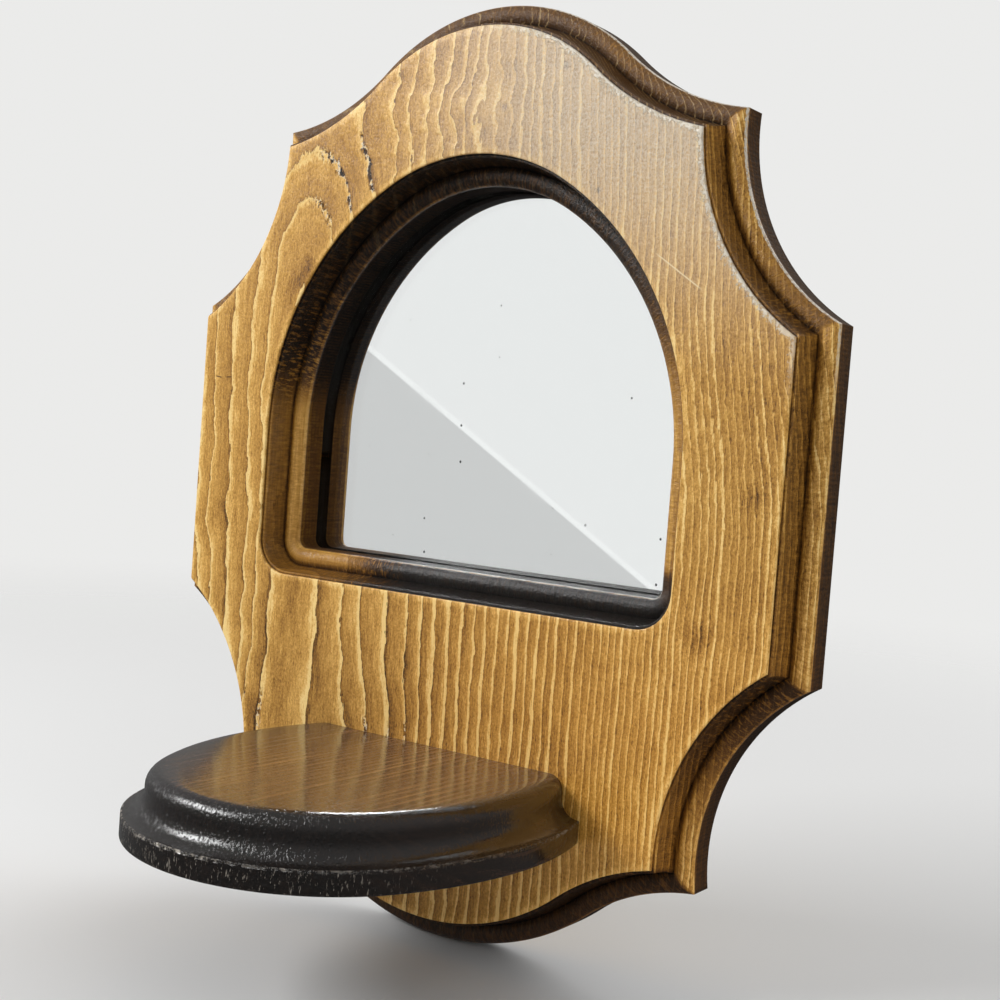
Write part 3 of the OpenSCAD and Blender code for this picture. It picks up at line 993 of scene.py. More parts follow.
    def wear(self, mix: Recipe, at: Reading) -> tuple[Value, Value]:
        """Where the arrises of the upper right are worn to the wood, and the painted sheen along them.

        Args:
            mix: The recipe that it is part of.
            at: The reading.

        Returns:
            Masks of the chipped white wear and of the painted sheen round it.
        """
        chips = mix.noise(mix.place, (0.9, 0.9, 1.1), 4.0, 0.75)
        wear_and_shade = mix.attribute("tone")
        exposed = mix.product(mix.remap(at.across, -8.0, 25.0), mix.remap(at.up, -92.0, -60.0),
                              mix.remap(at.inside, 0.7, 0.1))
        ragged = mix.total(mix.product(wear_and_shade, 0.78), mix.swing(chips, 1.2), mix.swing(at.blotch, 0.4))
        white = mix.product(mix.remap(ragged, 0.4, 0.76), mix.remap(wear_and_shade, 0.0, 0.1), exposed)
        # Painted sheen: a soft pale haze over the last millimetres before the arris.
        arris_sheen = mix.product(mix.remap(wear_and_shade, 0.2, 1.0), exposed, mix.remap(at.fuzz, 0.3, 0.7, 0.1, 0.5))
        return white, arris_sheen

    def build(self) -> bpy.types.Material:
        """Builds the material."""
        mix = Recipe("stained_pine")
        teeth = mix.noise(mix.place, (0.9, 0.9, 7.0), 3.0, 0.7)
        rings = self.grain(mix, teeth)
        at = self.read(mix, rings)
        pits, rims = self.torn_places(mix, at)
        white, arris_sheen = self.wear(mix, at)
        pooled = mix.product(at.inside, at.routed, mix.remap(at.up, -134.0, -141.0),
                             mix.remap(at.across, -42.0, -14.0))
        tone, end = self.routed_tone(mix, at, self.flat_tone(mix, at, rings))
        tone = self.cut_tone(mix, at, tone, end, pooled)
        wear_and_shade = mix.attribute("tone")
        rub = mix.product(mix.remap(wear_and_shade, 0.1, 0.9), mix.remap(at.blotch, 0.35, 0.6, 0.3, 1.0))
        # Painted shade in the grooves and inner corners of the routed edge, where the station tone is
        # negative.
        groove_shade = mix.remap(wear_and_shade, -0.1, -0.9)
        tone = mix.total(tone, mix.product(groove_shade, -0.1), mix.product(rub, 0.2), mix.product(pits, -0.9))
        saw = mix.maths("SINE", mix.product(mix.attribute("along"), 2 * math.pi / (self.saw_pitch * MM)))
        square = mix.remap(mix.apart(at.walked, self.square_middle), *self.square_half)
        ripples = mix.product(saw, square, mix.remap(at.blotch, 0.35, 0.6))
        colour = mix.ramp(mix.total(tone, mix.product(ripples, 0.02)), self.stain)
        colour = mix.mix(self.end_lines(mix, at, end), colour, self.end_line)
        warmed = mix.product(mix.remap(at.up, -110.0, -190.0), mix.remap(at.across, -60.0, 40.0))
        colour = mix.mix(warmed, colour, self.warmth, "MULTIPLY")
        # Painted sheen: a grey film over the upper right of the face, away from the routed edge.
        top_sheen = mix.product(mix.remap(at.across, -45.0, 45.0), mix.remap(at.up, -90.0, -10.0),
                            mix.remap(at.routed, 1.0, 0.0), mix.remap(at.fuzz, 0.3, 0.7, 0.36, 0.88))
        colour = mix.mix(top_sheen, colour, self.dust)
        for scratch in self.scratches:
            colour = mix.mix(self.mark(mix, scratch, at), colour, scratch.colour)
        # Worn colour over the chipped wear, the painted sheen and the pale rims of the pits.
        pale = mix.maths("MAXIMUM", mix.maths("MAXIMUM", white, arris_sheen), mix.product(rims, 0.9))
        colour = self.bare_back(mix, at, mix.mix(pale, colour, self.worn))
        raised = mix.product(mix.maths("POWER", at.phase, 3.0), mix.remap(at.across, 10.0, -20.0, 0.1, 0.26),
                             mix.remap(end, 1.0, 0.0, 0.4, 1.0))
        grained = mix.total(mix.product(at.fibre, 0.06),
                            mix.product(at.fuzz, mix.remap(end, 0, 1, 0.14, 0.4)),
                            mix.product(at.blotch, 0.2), mix.product(at.strokes, at.routed, 0.24))
        filled = mix.product(grained, mix.remap(pooled, 0.0, 1.0, 1.0, 0.7))
        mix.relief(mix.total(raised, filled, mix.product(ripples, 0.03), mix.product(white, 0.12),
                             mix.product(pits, -0.5)))
        coat = mix.total(mix.remap(square, 0.0, 1.0, 0.35, 0.0), mix.product(pooled, 0.4))
        roughness = mix.between(square, mix.remap(at.fuzz, 0.2, 0.8, 0.36, 0.56), 0.85)
        mix.surface(base_color=colour, roughness=roughness, coat_weight=coat, coat_roughness=0.2,
                    specular_ior_level=0.3)
        return mix.material

    def bare_back(self, mix: Recipe, at: Reading, colour: Value) -> bpy.types.NodeSocket:
        """Leaves the back bare but for the stain round its rim, and paints shadow where the glass lies
        against it.

        Args:
            mix: The recipe that it is part of.
            at: The reading.
            colour: Colour of the stained wood.

        Returns:
            The colour with the bare back.
        """
        low, high = (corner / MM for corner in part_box("mirror_glass"))
        beside = mix.maths("ABSOLUTE", at.across)
        # Painted shadow: the back turns darkest where the glass lies against it.
        glass_shadow = mix.product(mix.remap(beside, high.x, high.x - self.glass_fade),
                              mix.remap(at.up, low.z, low.z + self.glass_fade),
                              mix.remap(at.up, high.z, high.z - self.glass_fade))
        ran = mix.noise(mix.place, (5.0, 5.0, 9.0), 3.0, 0.6)
        walked = mix.total(at.walked, mix.swing(ran, 1.3))
        at_back = mix.remap(at.deep, self.back_deep - 0.6, self.back_deep - 0.2)
        line = mix.total(mix.remap(at.phase, 0.45, 0.95), mix.swing(at.fibre, 0.3), mix.swing(at.fuzz, 0.16))
        bare = mix.mix(mix.maths("MULTIPLY", line, 0.8, clamp=True), self.bare, self.bare_line)
        colour = mix.mix(mix.product(at_back, mix.remap(walked, *self.bare_from)), colour, bare)
        return mix.mix(mix.product(at_back, glass_shadow), colour, self.stain[0][1])

    def mark(self, mix: Recipe, scratch: Scratch, at: Reading) -> bpy.types.NodeSocket:
        """Where a scratch shows.

        Args:
            mix: The recipe that it is part of.
            scratch: The scratch.
            at: The reading.

        Returns:
            A mask from 0 to 1.
        """
        start, end = Vector(scratch.start), Vector(scratch.end)
        way = (end - start).normalized()
        right = mix.maths("SUBTRACT", at.across, start.x)
        rise = mix.maths("SUBTRACT", at.up, start.y)
        walked = mix.total(mix.maths("MULTIPLY", right, way.x), mix.maths("MULTIPLY", rise, way.y))
        aside = mix.total(mix.maths("MULTIPLY", right, way.y), mix.maths("MULTIPLY", rise, -way.x))
        half = (end - start).length / 2
        within = mix.remap(mix.apart(walked, half), half, half * 0.6)
        return mix.maths("MULTIPLY", mix.remap(mix.maths("ABSOLUTE", aside), scratch.wide, 0.0), within)


@dataclass(frozen=True)
class DarkPine:
    """Dark glossy pine of the shelf, with its grain running out from the wall."""

    stain: tuple[tuple[float, Colour], ...] = (
        (0.0, paint(9, 7, 6)),
        (0.25, paint(38, 25, 16)),
        (0.5, paint(88, 55, 28)),
        (0.75, paint(136, 94, 50)),
        (1.0, paint(178, 134, 80)),
    )
    worn: Colour = paint(196, 186, 172)
    middle_deep: float = -68.0
    half_wide: float = 46.5
    half_deep: float = 50.7
    line_pitch: float = 3.0
    ring: tuple[Pair, ...] = ((0, 0.36), (0.45, 0.42), (0.7, 0.6), (0.86, 0.76), (1.0, 0.5))
    # Where the edge and its upright lip begin, by the way round the section.
    edge_start: Pair = (1.5, 4.5)
    lip_start: Pair = (18.5, 20.5)

    def top_tone(self, mix: Recipe, fibre: Value) -> Value:
        """Lightness of the flat top, darker near its rim, with a painted dark reflection at its left.

        Args:
            mix: The recipe that it is part of.
            fibre: Fine noise along the fibres.

        Returns:
            The lightness.
        """
        across, deep, up = mix.split(mix.place)
        drift = mix.noise(mix.place, (40.0, 300.0, 30.0), 1.0)
        uneven = mix.noise(mix.place, (7.0, 160.0, 30.0), 2.0)
        cloud = mix.noise(mix.place, (18.0, 60.0, 18.0), 2.0)
        streak = mix.noise(mix.place, (1.1, 60.0, 1.1), 3.0, 0.7)
        bent = mix.total(across, mix.product(drift, 16.0), mix.product(uneven, 7.0), mix.product(up, 0.8))
        phase = mix.maths("FRACT", mix.maths("DIVIDE", bent, self.line_pitch))
        clear = mix.remap(cloud, 0.35, 0.65, 0.35, 1.0)
        rings = mix.total(mix.between(clear, 0.5, mix.curve(phase, self.ring)), mix.swing(streak, 0.2))
        out = mix.maths("MINIMUM", mix.total(deep, -self.middle_deep), 0.0)
        reach = mix.vector("LENGTH", mix.joined(mix.product(across, 1 / self.half_wide),
                                                mix.product(out, 1 / self.half_deep), 0.0), (0, 0, 0))
        # Darker towards the rim, and a painted dark reflection on the left.
        rim_and_left_dark = mix.total(mix.remap(reach, 0.72, 1.0, 0.0, 0.16),
                             mix.remap(across, -5.0, -42.0, 0.0, 0.14))
        return mix.total(rings, mix.swing(fibre, 0.12), mix.swing(cloud, 0.1), mix.product(rim_and_left_dark, -1.0))

    def build(self) -> bpy.types.Material:
        """Builds the material."""
        mix = Recipe("dark_pine")
        across = mix.split(mix.place)[0]
        walked = mix.walked()
        fibre = mix.noise(mix.place, (0.4, 14.0, 0.4), 3.0, 0.65)
        speckle = mix.noise(mix.place, (0.9, 0.9, 1.5), 4.0, 0.7)
        top = self.top_tone(mix, fibre)
        edge = mix.remap(walked, *self.edge_start)
        open_ends = mix.total(mix.attribute("endwise"), mix.swing(speckle, 0.1))
        black = mix.maths("MAXIMUM", mix.remap(open_ends, 0.25, 0.75), mix.remap(across, 24.0, 0.0))
        side = mix.product(mix.total(top, mix.swing(speckle, 0.14)), 0.58)
        dark = mix.remap(speckle, 0.4, 0.75, 0.03, 0.17)
        tone = mix.between(edge, top, mix.between(black, side, dark))
        knocks = mix.noise(mix.place, (10.0, 10.0, 10.0), 2.0)
        handled = mix.product(mix.remap(across, 40.0, -10.0, 0.3, 1.0),
                              mix.remap(knocks, 0.38, 0.6, 0.3, 1.0))
        chips = mix.noise(mix.place, (1.8, 1.8, 1.1), 4.0, 0.75)
        rubbed = mix.product(mix.remap(mix.attribute("tone"), 0.15, 0.95), mix.remap(chips, 0.47, 0.6))
        nicks = mix.noise(mix.place, (0.7, 0.7, 2.4), 3.0, 0.7)
        torn = mix.product(mix.remap(nicks, 0.58, 0.7), black, mix.remap(walked, *self.lip_start, 0.0, 0.5))
        pale = mix.maths("MAXIMUM", mix.product(rubbed, handled), torn)
        colour = mix.mix(pale, mix.ramp(tone, self.stain), self.worn)
        strokes = mix.strokes(0.55, 1.3, 2.0, 0.6)
        cut = mix.total(mix.remap(strokes, 0.5, 0.72, 0.0, 0.1), mix.product(speckle, 0.07))
        coarse = mix.product(cut, edge, mix.remap(black, 0, 1, 0.4, 1.0))
        mix.relief(mix.total(coarse, mix.product(fibre, 0.02), mix.product(rubbed, -0.3)))
        mix.surface(base_color=colour, roughness=mix.remap(speckle, 0.3, 0.7, 0.3, 0.5), coat_weight=1.0,
                    coat_roughness=0.09, coat_ior=1.65, specular_ior_level=0.1)
        return mix.material


@dataclass(frozen=True)
class ClearGlass:
    """Clear float glass with ground edges."""

    tint: Colour = (0.985, 0.992, 0.988)

    def build(self) -> bpy.types.Material:
        """Builds the material."""
        mix = Recipe("clear_glass")
        ground = mix.noise(mix.place, (0.4, 0.4, 0.4), 2.0)
        edge = mix.remap(mix.facing()[1], 0.9, 0.5)
        mix.relief(mix.maths("MULTIPLY", mix.maths("MULTIPLY", ground, edge), 0.05))
        mix.surface(base_color=self.tint, transmission_weight=1.0, ior=1.5,
                    roughness=mix.maths("MULTIPLY", edge, 0.4))
        return mix.material


@dataclass(frozen=True)
class Silvering:
    """Silvering of the mirror, with a few specks of dust."""

    silver: Colour = (0.93, 0.94, 0.94)
    speck: Colour = paint(90, 92, 92)
    cell_wide: float = 12.0
    cell_high: float = 14.0
    bare_cells: Pair = (0.84, 0.86)
    speck_size: Pair = (0.012, 0.032)

    def build(self) -> bpy.types.Material:
        """Builds the material."""
        mix = Recipe("silvering")
        across, _, up = mix.split(mix.place)
        node = mix.nodes.new("ShaderNodeTexVoronoi")
        node.voronoi_dimensions = "2D"
        mix.feed(node.inputs["Vector"], mix.joined(mix.product(across, 1 / self.cell_wide),
                                                   mix.product(up, 1 / self.cell_high), 0.0))
        mix.feed(node.inputs["Scale"], 1.0)
        draw, second_draw, _ = mix.split(node.outputs["Color"])
        chosen = mix.remap(draw, *self.bare_cells)
        size = mix.remap(second_draw, 0.0, 1.0, *self.speck_size)
        dot = mix.maths("MULTIPLY", mix.maths("LESS_THAN", node.outputs["Distance"], size), chosen)
        film = mix.noise(mix.place, (30.0, 30.0, 18.0), 3.0)
        colour = mix.mix(dot, self.silver, self.speck)
        mix.surface(base_color=colour, metallic=1.0, roughness=mix.remap(film, 0.3, 0.8, 0.0, 0.03))
        return mix.material


@dataclass(frozen=True)
class PlatedSteel:
    """Plated steel with fine rolling marks, duller patches and painted shade in its cross recesses."""

    name: str
    plate: Colour
    dull: Colour
    crosses: tuple[Pair, ...]
    # painted shade in the cross recesses of the screw heads
    recess_shade: Colour = (0.03, 0.028, 0.024)
    slot_half: Pair = (0.42, 0.28)
    slot_reach: Pair = (1.4, 1.15)

    def recess(self, mix: Recipe) -> Value:
        """Where the cross recesses of the screw heads lie, as a mask from 0 to 1."""
        across, _, up = mix.split(mix.place)
        beside = mix.maths("ABSOLUTE", across)
        share: Value = 0.0
        for screw_beside, screw_up in self.crosses:
            aside = mix.apart(beside, screw_beside)
            rise = mix.apart(up, screw_up)
            cross = mix.product(mix.remap(mix.maths("MINIMUM", aside, rise), *self.slot_half),
                                mix.remap(mix.maths("MAXIMUM", aside, rise), *self.slot_reach))
            share = mix.maths("MAXIMUM", share, cross)
        return share

    def build(self) -> bpy.types.Material:
        """Builds the material."""
        mix = Recipe(self.name)
        marks = mix.noise(mix.place, (3.0, 0.4, 0.25), 3.0, 0.6)
        patch = mix.noise(mix.place, (4.0, 4.0, 4.0), 3.0, 0.6)
        recess = self.recess(mix)
        colour = mix.mix(mix.remap(patch, 0.4, 0.65), self.plate, self.dull)
        # Painted shade: the cross recesses turn near-black.
        colour = mix.mix(mix.product(recess, 0.85), colour, self.recess_shade)
        mix.relief(mix.total(mix.product(marks, 0.03), mix.product(recess, -0.5)))
        mix.surface(base_color=colour, metallic=1.0, roughness=mix.remap(patch, 0.3, 0.7, 0.28, 0.5))
        return mix.material


@dataclass(frozen=True)
class Rubber:
    """Matt black rubber with a fine moulded grain."""

    black: Colour = paint(34, 34, 35)
    dusty: Colour = paint(66, 64, 62)

    def build(self) -> bpy.types.Material:
        """Builds the material."""
        mix = Recipe("moulded_rubber")
        grain = mix.noise(mix.place, (0.3, 0.3, 0.3), 2.0)
        dust = mix.noise(mix.place, (3.0, 3.0, 3.0), 3.0)
        mix.relief(mix.maths("MULTIPLY", grain, 0.04))
        mix.surface(base_color=mix.mix(mix.remap(dust, 0.45, 0.7), self.black, self.dusty), roughness=0.75)
        return mix.material


@dataclass(frozen=True)
class GreyCard:
    """Grey card of pressed fibres."""

    card: Colour = paint(176, 168, 150)
    fibre: Colour = paint(138, 130, 114)

    def build(self) -> bpy.types.Material:
        """Builds the material."""
        mix = Recipe("grey_card")
        fibres = mix.noise(mix.place, (0.35, 0.35, 2.2), 4.0, 0.7)
        cloud = mix.noise(mix.place, (16.0, 16.0, 16.0), 3.0)
        colour = mix.mix(mix.remap(fibres, 0.45, 0.7), self.card, self.fibre)
        shade = mix.remap(cloud, 0.3, 0.7, 0.92, 1.05)
        colour = mix.mix(1.0, colour, mix.joined(shade, shade, shade), "MULTIPLY")
        mix.relief(mix.maths("MULTIPLY", fibres, 0.05))
        mix.surface(base_color=colour, roughness=0.85)
        return mix.material


# ---- The sub-assemblies ----


@dataclass
class RoutedEdge:
    """The routed edge of the board: a step, a hollow, a bead, a sharp corner and a square edge."""

    board_thick: float = 19.0
    width: float = 7.96
    corner_deep: float = 10.1
    step_deep: float = 1.2
    step_wide: float = 0.8
    groove_deep: float = 9.4
    groove_out: float = 2.3
    bead_radius: float = 3.6
    face_margin: float = 2.6
    arris_soft: float = 0.5
    step_soft: float = 0.15
    corner_soft: float = 0.4
    corner_band: float = 0.8
    back_band: float = 1.0

    def section(self, back_margin: float) -> list[Station]:
        """Section of the edge from the face to the back.

        Args:
            back_margin: How far the last station lies inside the square edge.

        Returns:
            The stations from the face inwards to the back.
        """
        top = self.board_thick
        step = Station(self.step_wide, top - self.step_deep, 0.0, self.step_soft)
        groove = Station(self.groove_out, top - self.groove_deep, -1.0)
        corner = Station(self.width, top - self.corner_deep, 1.0, self.corner_soft)
        fall = self.groove_deep - self.step_deep
        out = self.groove_out - self.step_wide
        hollow = Vector((self.step_wide + (fall**2 + out**2) / (2 * out), step.height))
        bead = centre_left(corner.place, groove.place, self.bead_radius)
        # Negative tones mark the painted shade of the inner corner, the hollow and the groove; positive ones
        # mark worn arrises.
        return softened([
            Station(-self.face_margin, top), Station(0.0, top, 1.0, self.arris_soft),
            Station(0.0, top - self.step_deep, -1.0), step,
            *curved(hollow, step.place, groove.place, 9, -0.15), groove,
            *curved(bead, groove.place, corner.place, 9), corner,
            Station(self.width, corner.height - self.corner_band), Station(self.width, self.back_band),
            Station(self.width, 0.0, 0.0, self.arris_soft), Station(self.width - back_margin, 0.0)])


@dataclass
class Backboard:
    """The shaped board with its arched opening and the holes for its fastenings."""

    edge: RoutedEdge
    wall_gap: float = 7.0
    hang_up: float = 117.0
    face_wide: float = 210.0
    side_up: float = 45.0
    side_down: float = 42.5
    shoulder: Pair = (73.5, 100.0)
    foot: Pair = (76.0, 101.0)
    upper_hollow: float = 68.0
    lower_hollow: float = 69.0
    crown_up: float = 132.5
    crown: float = 57.5
    crown_reverse: float = 78.0
    base_down: float = 132.5
    base: float = 72.0
    base_reverse: float = 69.5
    arch_wide: float = 150.6
    arch_up: float = 95.3
    sill_down: float = 36.3
    arch_spring: float = 10.2
    arch_top: float = 61.9
    arch_corner: float = 11.0
    screw_holes: tuple[Pair, ...] = ((-25.0, -89.6), (25.0, -89.6))
    hole_radius: float = 2.25
    sink_radius: float = 4.0
    sink_deep: float = 1.75
    back_margin: float = 3.0
    bare_way: float = 40.0  # way round the section that the finish takes for the bare back
    facet: float = 2.0

    @property
    def hung(self) -> Matrix:
        """Stands board space up against the wall, in metres."""
        turned = Matrix.Rotation(math.radians(90), 4, "X")
        return Matrix.Scale(MM, 4) @ Matrix.Translation((0, -self.wall_gap, -self.hang_up)) @ turned

    def arc(self, centre: Vector, radius: float, bulge: int, sweep_degrees: float) -> Arc:
        """Arc with a fitting number of steps."""
        steps = max(6, round(radius * math.radians(sweep_degrees) / self.facet))
        return Arc(centre, radius, bulge, steps)

    def end_runs(self, side: float, shoulder: Pair, hollow: float, top: float,
                 round_radius: float, reverse: float) -> tuple[list[Arc], list[Vector]]:
        """Runs of one end of the board, from its top to its straight side.

        Args:
            side: Height where the straight side starts.
            shoulder: Place of the shoulder point.
            hollow: Radius of the side hollow.
            top: Height of the end's highest point.
            round_radius: Radius of the round end.
            reverse: Radius of the reverse curve.

        Returns:
            The three arcs, and the four places where they start and end.
        """
        corner, point = Vector((self.face_wide / 2, side)), Vector(shoulder)
        round_centre = Vector((0, top - round_radius))
        reverse_centre = centre_beside(round_centre, round_radius + reverse, point, reverse)
        flow = round_centre.lerp(reverse_centre, round_radius / (round_radius + reverse))
        arcs = [self.arc(round_centre, round_radius, 1, 50), self.arc(reverse_centre, reverse, -1, 45),
                self.arc(centre_left(point, corner, hollow), hollow, -1, 60)]
        return arcs, [Vector((0, top)), flow, point, corner]

    def outline(self) -> Outline:
        """Right half of the board's face."""
        upper, upper_joints = self.end_runs(self.side_up, self.shoulder, self.upper_hollow, self.crown_up,
                                            self.crown, self.crown_reverse)
        lower, lower_joints = self.end_runs(self.side_down, self.foot, self.lower_hollow, self.base_down,
                                            self.base, self.base_reverse)
        turned = [Arc(Vector((arc.centre.x, -arc.centre.y)), arc.radius, arc.bulge, arc.steps)
                  for arc in reversed(lower)]
        turned_joints = [Vector((joint.x, -joint.y)) for joint in reversed(lower_joints)]
        side = Straight(Vector((self.face_wide / 2, 0)), Vector((0, 1)), Vector((1, 0)), steps=24)
        runs, joints = (*upper, side, *turned), (*upper_joints, *turned_joints)
        return Outline(CENTRE_LINE, runs, CENTRE_LINE, joints)

    def opening(self) -> Outline:
        """Right half of the arched opening at the face; outwards is into the opening."""
        half = self.arch_wide / 2
        side = bow_side_radius(half, self.arch_up - self.arch_spring, self.arch_top)
        top_centre = Vector((0, self.arch_up - self.arch_top))
        side_centre = Vector((half - side, self.arch_spring))
        flow = top_centre + (top_centre - side_centre).normalized() * self.arch_top
        turn = Vector((half - self.arch_corner, self.arch_corner - self.sill_down))
        wall = Straight(Vector((half, 0)), Vector((0, 1)), Vector((-1, 0)), steps=12)
        sill = Straight(Vector((0, -self.sill_down)), Vector((1, 0)), Vector((0, 1)), steps=24)
        runs = (self.arc(top_centre, self.arch_top, -1, 60), self.arc(side_centre, side, -1, 30), wall,
                self.arc(turn, self.arch_corner, -1, 90), sill)
        joints = (Vector((0, self.arch_up)), flow, Vector((half, self.arch_spring)), Vector((half, turn.y)),
                  Vector((turn.x, -self.sill_down)), Vector((0, -self.sill_down)))
        return Outline(CENTRE_LINE, runs, CENTRE_LINE, joints)

    def build(self, finish: bpy.types.Material) -> bpy.types.Object:
        """Builds the board.

        Args:
            finish: The wood's material.

        Returns:
            The piece.
        """
        mesh = start_mesh()
        section = self.edge.section(self.back_margin)
        sweep(mesh, self.outline(), section)
        sweep(mesh, self.opening(), section)
        mirror_half(mesh)
        thick = self.edge.board_thick
        hole = [(self.sink_radius, 0.0, self.bare_way), (self.hole_radius, self.sink_deep, self.bare_way),
                (self.hole_radius, thick, 0.0)]
        for place in self.screw_holes:
            bore(mesh, Vector(place), hole)
        cap(mesh, thick, True)
        cap(mesh, 0.0, False)
        piece = piece_from(mesh, "board", self.hung)
        finish_with(piece, finish)
        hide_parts("backboard")
        return piece


@dataclass
class Shelf:
    """The round-fronted shelf with its moulded edge."""

    thick: float = 18.0
    down: float = 80.6
    wide: float = 93.0
    reach: float = 92.7
    widest: float = 29.4
    front: float = 41.4
    round_radius: float = 4.5
    band: float = 1.7
    cove: float = 5.3
    lip: float = 0.6
    lip_soft: float = 0.4
    lip_band: float = 1.1
    under_soft: float = 0.6
    under_band: float = 1.4
    top_margin: float = 2.0
    under_margin: float = 3.0
    curve_steps: int = 40

    def section(self) -> list[Station]:
        """Section of the edge from the flat top to the underside."""
        round_centre = Vector((0, self.thick - self.round_radius))
        cove_centre = Vector((self.round_radius + self.cove, round_centre.y - self.band))
        round_start = Station(0.0, self.thick)
        round_end = Station(self.round_radius, round_centre.y)
        cove_start = Station(self.round_radius, cove_centre.y)
        cove_end = Station(cove_centre.x, cove_centre.y - self.cove)
        lip = Station(cove_centre.x + self.lip, cove_end.height, 1.0, self.lip_soft)
        return softened([
            Station(-self.top_margin, self.thick), round_start,
            *curved(round_centre, round_start.place, round_end.place, 8), round_end, cove_start,
            *curved(cove_centre, cove_start.place, cove_end.place, 9), cove_end, lip,
            Station(lip.out, lip.height - self.lip_band), Station(lip.out, self.under_band),
            Station(lip.out, 0.0, 0.3, self.under_soft), Station(lip.out - self.under_margin, 0.0)])

    def outline(self) -> Outline:
        """Right half of the flat top, with y out from the board's face."""
        half = self.wide / 2
        side = bow_side_radius(half, self.reach - self.widest, self.front)
        front_centre = Vector((0, self.reach - self.front))
        side_centre = Vector((half - side, self.widest))
        flow = front_centre + (front_centre - side_centre).normalized() * self.front
        back_x = side_centre.x + math.sqrt(side**2 - self.widest**2)
        back = Straight(Vector((0, 0)), Vector((1, 0)), Vector((0, 0)))
        runs = (Arc(front_centre, self.front, 1, self.curve_steps),
                Arc(side_centre, side, 1, self.curve_steps))
        return Outline(CENTRE_LINE, runs, back, (Vector((0, self.reach)), flow, Vector((back_x, 0))))

    def build(self, finish: bpy.types.Material, board: Backboard) -> bpy.types.Object:
        """Builds the shelf.

        Args:
            finish: The wood's material.
            board: The board that it stands on.

        Returns:
            The piece.
        """
        mesh = start_mesh()
        sweep(mesh, self.outline(), self.section())
        mirror_half(mesh)
        for height in (self.thick, 0.0):
            ends = [vert for edge in open_edges(mesh, height) for vert in edge.verts
                    if abs(vert.co.y) < WELD and abs(vert.co.x) > 1.0]
            corners = sorted(set(ends), key=lambda vert: vert.co.x)
            bmesh.ops.contextual_create(mesh, geom=[corners[0], corners[-1]])
            cap(mesh, height, height > 0)
        bmesh.ops.holes_fill(mesh, edges=[edge for edge in mesh.edges if edge.is_boundary], sides=0)
        low = -board.hang_up - self.down - self.thick
        place = Matrix.Translation((0, -board.wall_gap - board.edge.board_thick, low))
        piece = piece_from(mesh, "shelf_board", Matrix.Scale(MM, 4) @ place @ Matrix.Scale(-1, 4, (0, 1, 0)))
        finish_with(piece, finish)
        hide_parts("shelf")
        return piece


@dataclass
class MirrorPane:
    """The silvered pane behind the opening, with the card that backs it."""

    silver_gap: float = 0.05
    silver_thick: float = 0.05
    ground: float = 0.5

    def block(self, name: str, low: Vector, high: Vector, rounding: float) -> bpy.types.Object:
        """Flat block with ground arrises.

        Args:
            name: Name of the piece.
            low: Its lowest corner, in metres.
            high: Its highest corner, in metres.
            rounding: Width of the ground arris in millimetres.

        Returns:
            The piece.
        """
        mesh = start_mesh()
        size = high - low
        bmesh.ops.create_cube(mesh, size=1.0)
        bmesh.ops.scale(mesh, vec=size, verts=mesh.verts)
        bmesh.ops.translate(mesh, vec=(low + high) / 2, verts=mesh.verts)
        if rounding:
            bmesh.ops.bevel(mesh, geom=mesh.edges[:], affect="EDGES", offset=rounding * MM, segments=2,
                            profile=0.5, material=-1)
        return piece_from(mesh, name, Matrix.Identity(4), 20.0)

    def build(self, glass: bpy.types.Material, silver: bpy.types.Material,
              card: bpy.types.Material) -> list[bpy.types.Object]:
        """Builds the glass and its silvering, and dresses the card.

        Args:
            glass: Material of the clear glass.
            silver: Material of the silvering.
            card: Material of the card.

        Returns:
            The pieces.
        """
        low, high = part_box("mirror_glass")
        silvering = (self.silver_gap + self.silver_thick) * MM
        clear = self.block("glass_pane", low, Vector((high.x, high.y - silvering, high.z)), self.ground)
        finish_with(clear, glass)
        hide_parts("mirror_glass")
        inset = Vector((self.ground, 0, self.ground)) * MM
        front = Vector((low.x, high.y - self.silver_thick * MM, low.z)) + inset
        sheet = self.block("silvering", front, high - inset, 0.0)
        finish_with(sheet, silver)
        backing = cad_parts["backing_card"]
        finish_with(backing, card)
        return [clear, sheet, backing]


